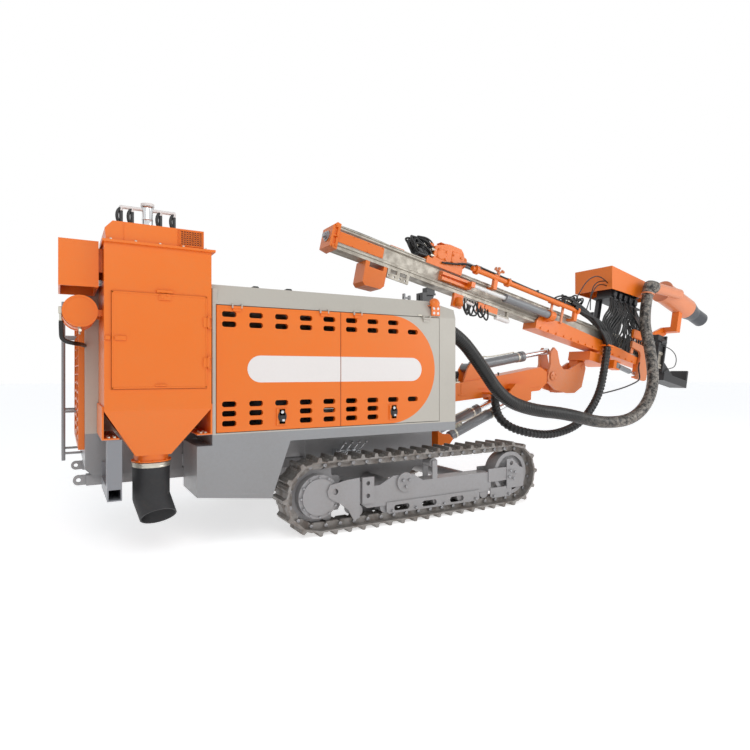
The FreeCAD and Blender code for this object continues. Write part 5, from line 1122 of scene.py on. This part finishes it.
# %% Castings and bolts of the rotary head
head_details = [turned([(0, 62), (14, 62), (20, 54), (26, 30)], [1520, 0, 566], [0, 0, 1], 28),
                block([1335, -118, 340], [1480, -108, 470], 6),
                block([1560, -118, 350], [1715, -108, 500], 6),
                block([1240, -70, 470], [1300, 70, 520], 10), block([1400, -50, 564], [1650, 50, 580], 6)]
fitted("drifter_castings", head_details, orange, "drifter", on_feed=True)
head_bolts = hex_heads([[u, -118, w] for u in (1350, 1465, 1580, 1700) for w in (360, 450)], [0, -1, 0], 24,
                       14)
head_bolts += hex_heads([[u, v, 315.3] for u in (1225, 1740) for v in (-92, 92)], [0, 0, 1], 28, 16)
fitted("drifter_bolts", head_bolts, orange, "drifter", on_feed=True)

print("head bolts", len(head_bolts))

# %% [markdown]
# Four lines run along the beam's side, held by black straps, and two more drop to the
# extension cylinder. A hand wheel with six arms stands on the tube beside them.

# %% Lines and straps along the beam
beam_runs = [[[1900, -150 - 14 * k, 398 + 8 * (k % 2)], [2500, -158 - 14 * k, 392],
              [3000, -150 - 15 * k, 402 - 6 * k], [3600, -165 - 12 * k, 396], [3880, -150 - 14 * k, 400]]
             for k in range(4)]
beam_runs += [[[1905, -130, 372], [1840, -120, 420], [1700, -128, 360], [1480, -122, 318]],
              [[1900, -165, 392], [1760, -150, 400], [1600, -135, 330], [1420, -124, 300]]]
hose_set("beam_hoses", beam_runs, 0.012, hose_black, "feed", on_feed=True)
straps = [block([u, -216, 350], [u + 26, -136, 412], 4) for u in (1960, 2480, 3010, 3560, 3850)]
fitted("beam_hose_straps", straps, black_paint, "feed", on_feed=True)
star = [turned([(0, 24), (46, 24), (52, 16)], [2293, -187, 384], [0, 0, 1], 18)]
for k in range(6):
    a = k * math.pi / 3 + 0.3
    way = [math.cos(a) * 0.9, math.sin(a) * 0.2, 0.55 + 0.35 * math.sin(a)]
    star.append(turned([(0, 11), (62, 9), (66, 17), (84, 17), (88, 9)], [2293, -187, 428], way, 12))
fitted("star_handle", star, cast_orange, "feed", on_feed=True)
print("beam lines", len(beam_runs), "straps", len(straps))

# %% [markdown]
# The beam is bolted from plates, and a roller chain on its top pulls the head. A chain
# that is seen from metres away needs only its row of link plates, 31.75 mm apart.

# %% Bolts, hub and chain of the beam
CHAIN_PITCH = 31.75
web_bolts = hex_heads([[u, -77.6, w] for u in (5, 200, 400, 590) for w in (102, 207)], [0, -1, 0], 15, 8)
end_bolts = hex_heads([[-62 + 40 * (k % 2), -107.3, w] for k, w in enumerate((20, 30, 262, 142))],
                      [0, -1, 0], 22, 12)
side_bolts = hex_heads([[u, -112.5, w] for u in (1470, 1620, 1780) for w in (100, 190)], [0, -1, 0], 24, 14)
fitted("beam_bolts", web_bolts + end_bolts + side_bolts, orange, "feed", on_feed=True)
end_hub = [turned([(0, 62), (10, 62), (16, 48), (30, 48), (34, 30), (52, 30)], [-95, 10, 140], [-1, 0, 0],
                  28)]
fitted("end_hub", end_hub, bare_steel, "feed", on_feed=True)
fitted("beam_top_plates", [block([690, -60, 275.5], [900, 20, 300], 8)], orange, "feed",
       on_feed=True)
hose_set("beam_top_cable", [[[20, -20, 291], [200, -30, 293], [420, -26, 293], [640, -20, 291]]], 0.014,
         hose_black, "feed", on_feed=True)
chain_links = [block([u, -13, 276], [u + 22, 13, 285], 3) for u in np.arange(700, 6080, CHAIN_PITCH)]
fitted("feed_chain", chain_links, track_steel, "feed", on_feed=True)
print("chain links", len(chain_links))

# %% [markdown]
# The valve bank stands on its shelf under the sheet cover. Every valve has a spool cap
# and a pilot port, and its hoses fall to the cradle in their own arcs.

# %% Valve bank and its hose curtain
caps, hose_starts, hose_ends, hose_lifts = [], [], [], []
for k, u in enumerate(range(4722, 5318, 130)):
    caps.append(block([u + 12, -96, 852], [u + 78, -50, 940], 6))
    caps.append(block([u + 22, -118, 965], [u + 68, -50, 1060], 6))
    caps += [turned([(0, 22), (40, 22), (46, 14)], [u + 45, -50, w], [0, -1, 0], 16) for w in (1062, 835)]
    for m in range(3):
        hose_starts.append([u + 15 + 30 * m, -80 + 25 * m, 802])
        hose_ends.append([u - 60 + 34 * m, -110 + 9 * (k % 3), 60 + 10 * (k % 4)])
        hose_lifts.append([-90 + 50 * m, -70 + 25 * ((k + m) % 3), -40 - 30 * (k % 3)])
fitted("valve_caps", caps, black_paint, "cradle", on_feed=True)
curtain = [[np.array(a), np.array(a) + [0, 0, -110],
            (np.array(a) + b) / 2 + np.array(c) + rng.normal(0, 22, 3),
            np.array(b) + [rng.normal(0, 30), -30, 150], np.array(b)] for a, b,
           c in zip(hose_starts, hose_ends, hose_lifts)]
hose_set("valve_hoses", beside_head(curtain), 0.0135, hose_black, "cradle", on_feed=True)
cross = []
for k in range(11):
    u, w = 4700 + 62 * k, 560 - 12 * k
    cross.append([[u, -70, 800], [u + 60, -130, w + 90], [u + 180, -100 + 12 * (k % 5), w - 40],
                  [u + 330, -130, w - 160], [u + 420, -112, 90]])
hose_set("cross_hoses", beside_head(cross), 0.0115, hose_black, "cradle", on_feed=True)
print("valve hoses", len(curtain), "cross hoses", len(cross))

# %% [markdown]
# Nine thick hoses come down the beam side by side and meet the guarded bundle under
# a clamp, and thinner ones fall from the bank past them. Thin pilot lines arch free.

# %% Trunk, falling and pilot hoses
trunk = [[[3560 + 26 * k, -140 - 40 * (k % 3), 500 - 14 * k], [3900, -150 - 34 * (k % 3), 470 - 16 * k],
          [4260 + 20 * k, -160 - 30 * (k % 3), 330 - 20 * (k % 4)], [4500 + 22 * k, -230 + 26 * (k % 3), 130],
          [4572 + 10 * k, -240 + 30 * (k % 3), -2]] for k in range(9)]
hose_set("trunk_hoses", trunk, 0.023, hose_black, "cradle", on_feed=True)
fall = [[[4690 + 45 * k, -70 + 8 * (k % 4), 806], [4640 + 40 * k, -120, 640 - 20 * (k % 3)],
         [4470 + 30 * k, -160 - 16 * (k % 3), 430 - 14 * k], [4520 + 24 * k, -150, 240],
         [4600 + 30 * k, -118, 100]] for k in range(9)]
fall += [[[5020 + 40 * k, -60, 806], [5160 + 50 * k, -130, 640 - 24 * k],
          [5420 + 40 * k, -150, 470 - 30 * (k % 4)], [5620 + 20 * k, -130, 330 - 26 * (k % 4)],
          [5600, -100, 120 - 10 * k]] for k in range(8)]
hose_set("falling_hoses", beside_head(fall), 0.0165, hose_black, "cradle", on_feed=True)
fitted("trunk_clamps", [block([3700, -226, 420], [3736, -134, 500], 6),
                        block([4140, -244, 320], [4176, -160, 410], 6),
                        block([4548, -262, -4], [4676, -152, 22], 5)], black_paint, "cradle",
       on_feed=True)
tall_loops = [[[4600, -60, 1010], [4380, -80, 1080], [4080, -120, 930], [3900, -140, 640], [3820, -150, 470]],
              [[4610, -40, 980], [4420, -70, 960], [4230, -120, 820], [4120, -150, 560], [4080, -165, 430]],
              [[4600, 0, 1060], [4360, -20, 1000], [4200, -90, 700], [4180, -150, 460]]]
hose_set("loose_pilot_lines", tall_loops, 0.008, hose_black, "cradle", on_feed=True)
print("trunk", len(trunk), "falling", len(fall), "pilot", len(tall_loops))

# %% [markdown]
# Steel manifolds on posts share the oil between the cylinders. Every port has a
# fitting and a short hose that turns back over its block.

# %% Cradle manifolds and front hoses
manifolds = [block([3560, -176, 400], [3800, -130, 470], 8), block([3330, -150, 330], [3560, -108, 400], 8),
             block([5200, -200, 300], [5420, -138, 430], 10)]
fitted("cradle_manifolds", manifolds, orange, "cradle", on_feed=True)
posts = [block([3600, -150, 100], [3640, -128, 404], 3), block([3380, -145, 100], [3420, -126, 334], 3),
         block([5260, -138, 60], [5320, -112, 304], 3)]
fitted("manifold_posts", posts, cast_orange, "cradle", on_feed=True)
ports = [[u, -176, 436] for u in (3590, 3640, 3690, 3740,
                                  3780)] + [[u, -150, 366] for u in (3360, 3420, 3480, 3530)]
fitted("manifold_ports", fittings(ports, [[0, -1, 0]] * 9, 13), zinc, "cradle", on_feed=True)
short = nest(ports, [[p[0] + 190, -140, p[2] + 40] for p in ports], [[0, -90, 60]] * 9, 18)
hose_set("manifold_hoses", short, 0.011, hose_black, "cradle", on_feed=True)
front = [[[5420, -90, 380 - 18 * k], [5560, -120, 430 - 20 * k], [5720, -110 - 10 * k, 330 - 12 * k],
          [5690, -70, 200 - 10 * k], [5600, -118, 40]] for k in range(6)]
hose_set("front_hoses", beside_head(front), 0.012, hose_black, "cradle", on_feed=True)
cheek_bolts = hex_heads([[u, -125.6, w] for u in np.arange(3260, 5660, 160) for w in (-60,)], [0, -1, 0],
                        26, 15)
nose_nuts = [turned([(0, 26), (20, 26), (24, 18), (40, 18)], [4962, v, -190], [1, 0, 0], 6)
             for v in (-55, 60)]
fitted("cradle_bolts", cheek_bolts, orange, "cradle", on_feed=True)
fitted("bracket_nuts", nose_nuts, zinc, "bracket", on_feed=True)
print("ports", len(ports), "cradle bolts", len(cheek_bolts))

# %% [markdown]
# One thin hose leaves the bundle half way and hangs under the cradle to the hook
# bracket. It starts where the bundle's line passes 1.24 m, so it meets it exactly.

# %% Branch of the bundle
BRANCH_HEIGHT = 1.24
join = (bundle_line[np.argmin(np.abs(bundle_line[:60, 2] - BRANCH_HEIGHT))] - SHIFT) * 1000
hook_run = (feed_rows([[5560, -118, 40], [5450, -176, -60], [5430, -196, -180], [5500, -196, -300],
                       [5420, -204, -380]]) - SHIFT) * 1000
branch = np.concatenate([hook_run, [join * 0.5 + hook_run[-1] * 0.5 + [0, 0, -30], join]])
hose_set("bundle_branch", [branch], 0.011, hose_black, body_of_node["hose_bundle"])
print("branch meets the bundle at", join.round())

# %% [markdown]
# The front of the feed carries a work lamp and a thin cable loop over the drill table,
# and the underside of its rear half holds small valves and their hoses.

# %% Work lamp and underside
lamp = [turned([(0, 30), (60, 52), (96, 56), (104, 50)], [5960, -150, 400], [0.96, 0, 0.28], 24),
        block([5900, -172, 330], [5964, -128, 400], 6), block([5915, -160, 40], [5945, -96, 334], 4)]
fitted("work_lamp", lamp, black_paint, "feed", on_feed=True)
glass = [turned([(0, 47), (6, 44), (8, 20)], [6059, -150, 429], [0.96, 0, 0.28], 24)]
fitted("lamp_lens", glass, chrome, "feed", on_feed=True)
hose_set("lamp_cable", [[[5930, -170, 350], [6150, -180, 372], [6420, -170, 290], [6440, -160, 90],
                         [6240, -140, 20], [6180, -130, -56]]], 0.007, hose_black, "feed", on_feed=True)
under = [turned([(0, 44), (60, 52), (96, 52), (110, 30)], [1790, -95, -60], [0, -0.4, -1], 20),
         block([2120, -95, -128], [2230, -52, -1], 8), block([2240, -95, -92], [2470, -62, -1], 6)]
fitted("under_castings", under, orange, "feed", on_feed=True)
small = [turned([(0, 33), (210, 33), (216, 26), (240, 26)], [2450, -84, -120], [1, 0, 0], 24),
         turned([(0, 20), (120, 20)], [1920, -90, -60], [1, 0, -0.1], 16)]
fitted("under_cylinders", small, pale_band, "feed", on_feed=True)
tangle = nest([[1850 + 45 * k, -80, -20] for k in range(8)], [[1980 + 45 * k, -85, -60] for k in range(8)],
              [[20, -20, -150 - 12 * (k % 4)] for k in range(8)], 24)
hose_set("under_hoses", tangle, 0.011, hose_black, "feed", on_feed=True)
print("hoses under the beam", len(tangle))

# %% [markdown]
# ## Cylinders, pins and boom
# Each boom cylinder has a welded port block and a hard pipe along its barrel.


# %% Cylinder pipes and bands
def along(base, eye, s, h, y):
    """A point at distance s along a cylinder and height h over its axis, at a given y."""
    way = np.array([eye[0] - base[0], eye[1] - base[1]], float)
    way /= np.linalg.norm(way)
    x, z = np.array(base) + way * s + np.array([-way[1], way[0]]) * h
    return [x, y, z]


def cylinder_trim(name, base, eye, y, radius, length, body):
    """A port block, a hard pipe with two elbows and two bands on a cylinder barrel."""
    way = np.array([eye[0] - base[0], 0, eye[1] - base[1]], float)
    parts = [turned([(0, radius + 5), (26, radius + 5), (30, radius)], along(base, eye, s, 0, y), way, 36)
             for s in (150, length - 60)]
    for s in (210, 260, 300):
        parts.append(turned([(0, 24), (46, 24), (50, 16)], along(base, eye, s, radius - 6, y),
                            [-way[2], 0, way[0]], 6))
    fitted(name + "_bands", parts, zinc, body)
    pipe = [along(base, eye, 290, radius + 34, y), along(base, eye, 330, radius + 40, y - 8),
            along(base, eye, 400, radius + 16, y - 12), along(base, eye, length - 140, radius + 14, y - 12),
            along(base, eye, length - 90, radius + 16, y - 6), along(base, eye, length - 80, radius - 4, y)]
    hose_set(name + "_pipe", [pipe], 0.009, zinc, body)


cylinder_trim("tilt_cylinder", (4800, 1620), (6362.2, 1871.8), -100, 68, 980, "tilt_barrel")
for y in (-290, 90):
    cylinder_trim(f"lift_cylinder_{'right' if y < 0 else 'left'}", (4290, 705), (5660, 1225), y, 62, 860,
                  "lift_barrels")
print("cylinders dressed", 3)

# %% [markdown]
# The boom is a welded box with raised seams, and its head turns on a pin whose cap is
# held by three bolts. A small port bank on its back feeds the cylinders.

# %% Pin cap, seams and port bank of the boom
keepers = []
head_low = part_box("boom_head")[0]
tip_y = (head_low[1] - SHIFT[1]) * 1000
keepers.append(turned([(0, 64), (10, 64), (14, 56), (16, 20)], [6330, tip_y + 1, 1500], [0, -1, 0], 32))
keepers += hex_heads([[6330 + 36 * math.cos(a), tip_y - 14, 1500 + 36 * math.sin(a)]
                      for a in (0.6, 2.7, 4.8)], [0, -1, 0], 20, 10)
fitted("tip_pin_cap", keepers, cast_orange, "head")
BOOM_MID_Y, BOOM_HALF_WIDTH = -100, 130
boom_y = BOOM_MID_Y - BOOM_HALF_WIDTH
trim = [block([4560, boom_y - 8, 1244], [4700, boom_y + 1, 1264], 3),
        block([4900, boom_y - 6, 1330], [6060, boom_y + 1, 1342], 2),
        block([4600, boom_y - 6, 1232], [4616, boom_y + 1, 1400], 2)]
fitted("boom_weld_strips", trim, orange, "boom")
bank = [block([4470, -170, 1384], [4640, -30, 1436], 6)]
bank += [turned([(0, 15), (34, 15), (38, 9)], [x, y, 1434], [0, 0, 1], 6) for x in (4500, 4555, 4610)
         for y in (-140, -100, -60)]
fitted("boom_port_bank", bank, zinc, "boom")
lines = [[[4610 - 55 * k, -140 + 40 * j, 1470], [4640, -140 + 40 * j, 1540 + 20 * k], [4560, -180, 1560],
          [4450, -210 + 30 * j, 1440 + 30 * k]] for k in range(2) for j in range(3)]
hose_set("boom_foot_hoses", lines, 0.012, hose_black, "boom")
boom_top = [turned([(0, 9), (26, 9), (30, 15), (44, 15)], [5330, -150, 1510], [0, 0, 1], 12)]
fitted("boom_bleeder", boom_top, black_paint, "boom")
print("boom ports", len(bank) - 1, "foot hoses", len(lines))

# %% [markdown]
# Rings of bolts hold the cover plate, the idler's yoke and the final drive, and a row
# of them holds the roller guards. Both tracks get the same.

# %% Track frame bolts
frame_bolts = []
for side in (-1, 1):
    for x, z, turn in ((3120, 415, 3), (4600, 360, 4)):
        r = 44 if turn == 3 else 52
        frame_bolts += hex_heads([[x + r * math.cos(a), side * 1180, z + r * math.sin(a)]
                                  for a in np.arange(turn) * 2 * math.pi / turn + 0.5], [0, side, 0], 30, 14)
    frame_bolts += hex_heads([[x, side * 1168, 135] for x in (2960, 3250, 3620, 4060, 4330, 4560)],
                             [0, side, 0], 26, 12)
    frame_bolts += hex_heads([[2135 + 190 * math.cos(a), side * 1188, AXLE_Z + 190 * math.sin(a)]
                              for a in np.arange(12) * math.pi / 6], [0, side, 0], 22, 10)
fitted("track_frame_bolts", frame_bolts, bare_steel, "root")
print("track frame bolts", len(frame_bolts))

# %% [markdown]
# ## Ground and light
# A plain pale floor stands for the even studio picture. It glows a little, so that it
# reaches white without more light on the machine, and it still takes the shadow.

# %% Floor
floor_mesh = bpy.data.meshes.new("floor")
half = 80.0
floor_mesh.from_pydata([(-half, -half, 0), (half, -half, 0), (half, half, 0), (-half, half, 0)], [],
                       [(0, 1, 2, 3)])
floor = bpy.data.objects.new("floor", floor_mesh)
bpy.context.scene.collection.objects.link(floor)
floor_finish, _ = new_material("pale_studio_floor", Base_Color=linear("#F4F4F4"), Roughness=0.9,
                               Emission_Color=(1, 1, 1, 1), Emission_Strength=0.58)
floor_mesh.materials.append(floor_finish)
print("floor", 2 * half, "m square")

# %% [markdown]
# A large soft light above the camera's left shoulder models the forms, and a weaker one
# on the right lifts the boom and the feed, as a second studio lamp would.


# %% Two soft lights
def soft_light(name, place, aim, size, watts):
    """A square area light that looks from its place towards its aim."""
    data = bpy.data.lights.new(name, "AREA")
    data.shape, data.size, data.energy = "SQUARE", size, watts
    lamp = bpy.data.objects.new(name, data)
    bpy.context.scene.collection.objects.link(lamp)
    lamp.location = Vector(place)
    lamp.rotation_euler = (Vector(aim) - Vector(place)).to_track_quat("-Z", "Y").to_euler()
    return lamp


soft_light("key", (-5.5, -9.0, 8.5), (-1.0, 0, 1.2), 6.0, 390)
soft_light("fill", (6.5, -8.0, 4.5), (2.2, 0, 1.8), 5.0, 270)

print("lights", len(bpy.data.lights))

# %% [markdown]
# The sky lights the machine with a mild grey, and is pure white where the camera, a
# reflection or a ray through glass sees it. So metal shows the white studio too.

# %% Background
world = bpy.context.scene.world or bpy.data.worlds.new("World")
bpy.context.scene.world = world
world.use_nodes = True
world.node_tree.nodes.clear()
ray = add(world, "ShaderNodeLightPath").outputs
direct = add(world, "ShaderNodeMath", [(0, ray["Is Camera Ray"]), (1, ray["Is Transmission Ray"])],
             operation="MAXIMUM")
shown = add(world, "ShaderNodeMath", [(0, direct.outputs[0]), (1, ray["Is Glossy Ray"])], operation="MAXIMUM")
sky = add(world, "ShaderNodeBackground", Color=linear("#E9EEF4"), Strength=0.44)
white = add(world, "ShaderNodeBackground", Color=(1, 1, 1, 1), Strength=1.0)
backdrop = add(world, "ShaderNodeMixShader",
               [(0, shown.outputs[0]), (1, sky.outputs[0]), (2, white.outputs[0])])
add(world, "ShaderNodeOutputWorld", [("Surface", backdrop.outputs[0])])
bpy.context.scene.view_settings.view_transform = "Standard"
print("background nodes", len(world.node_tree.nodes))
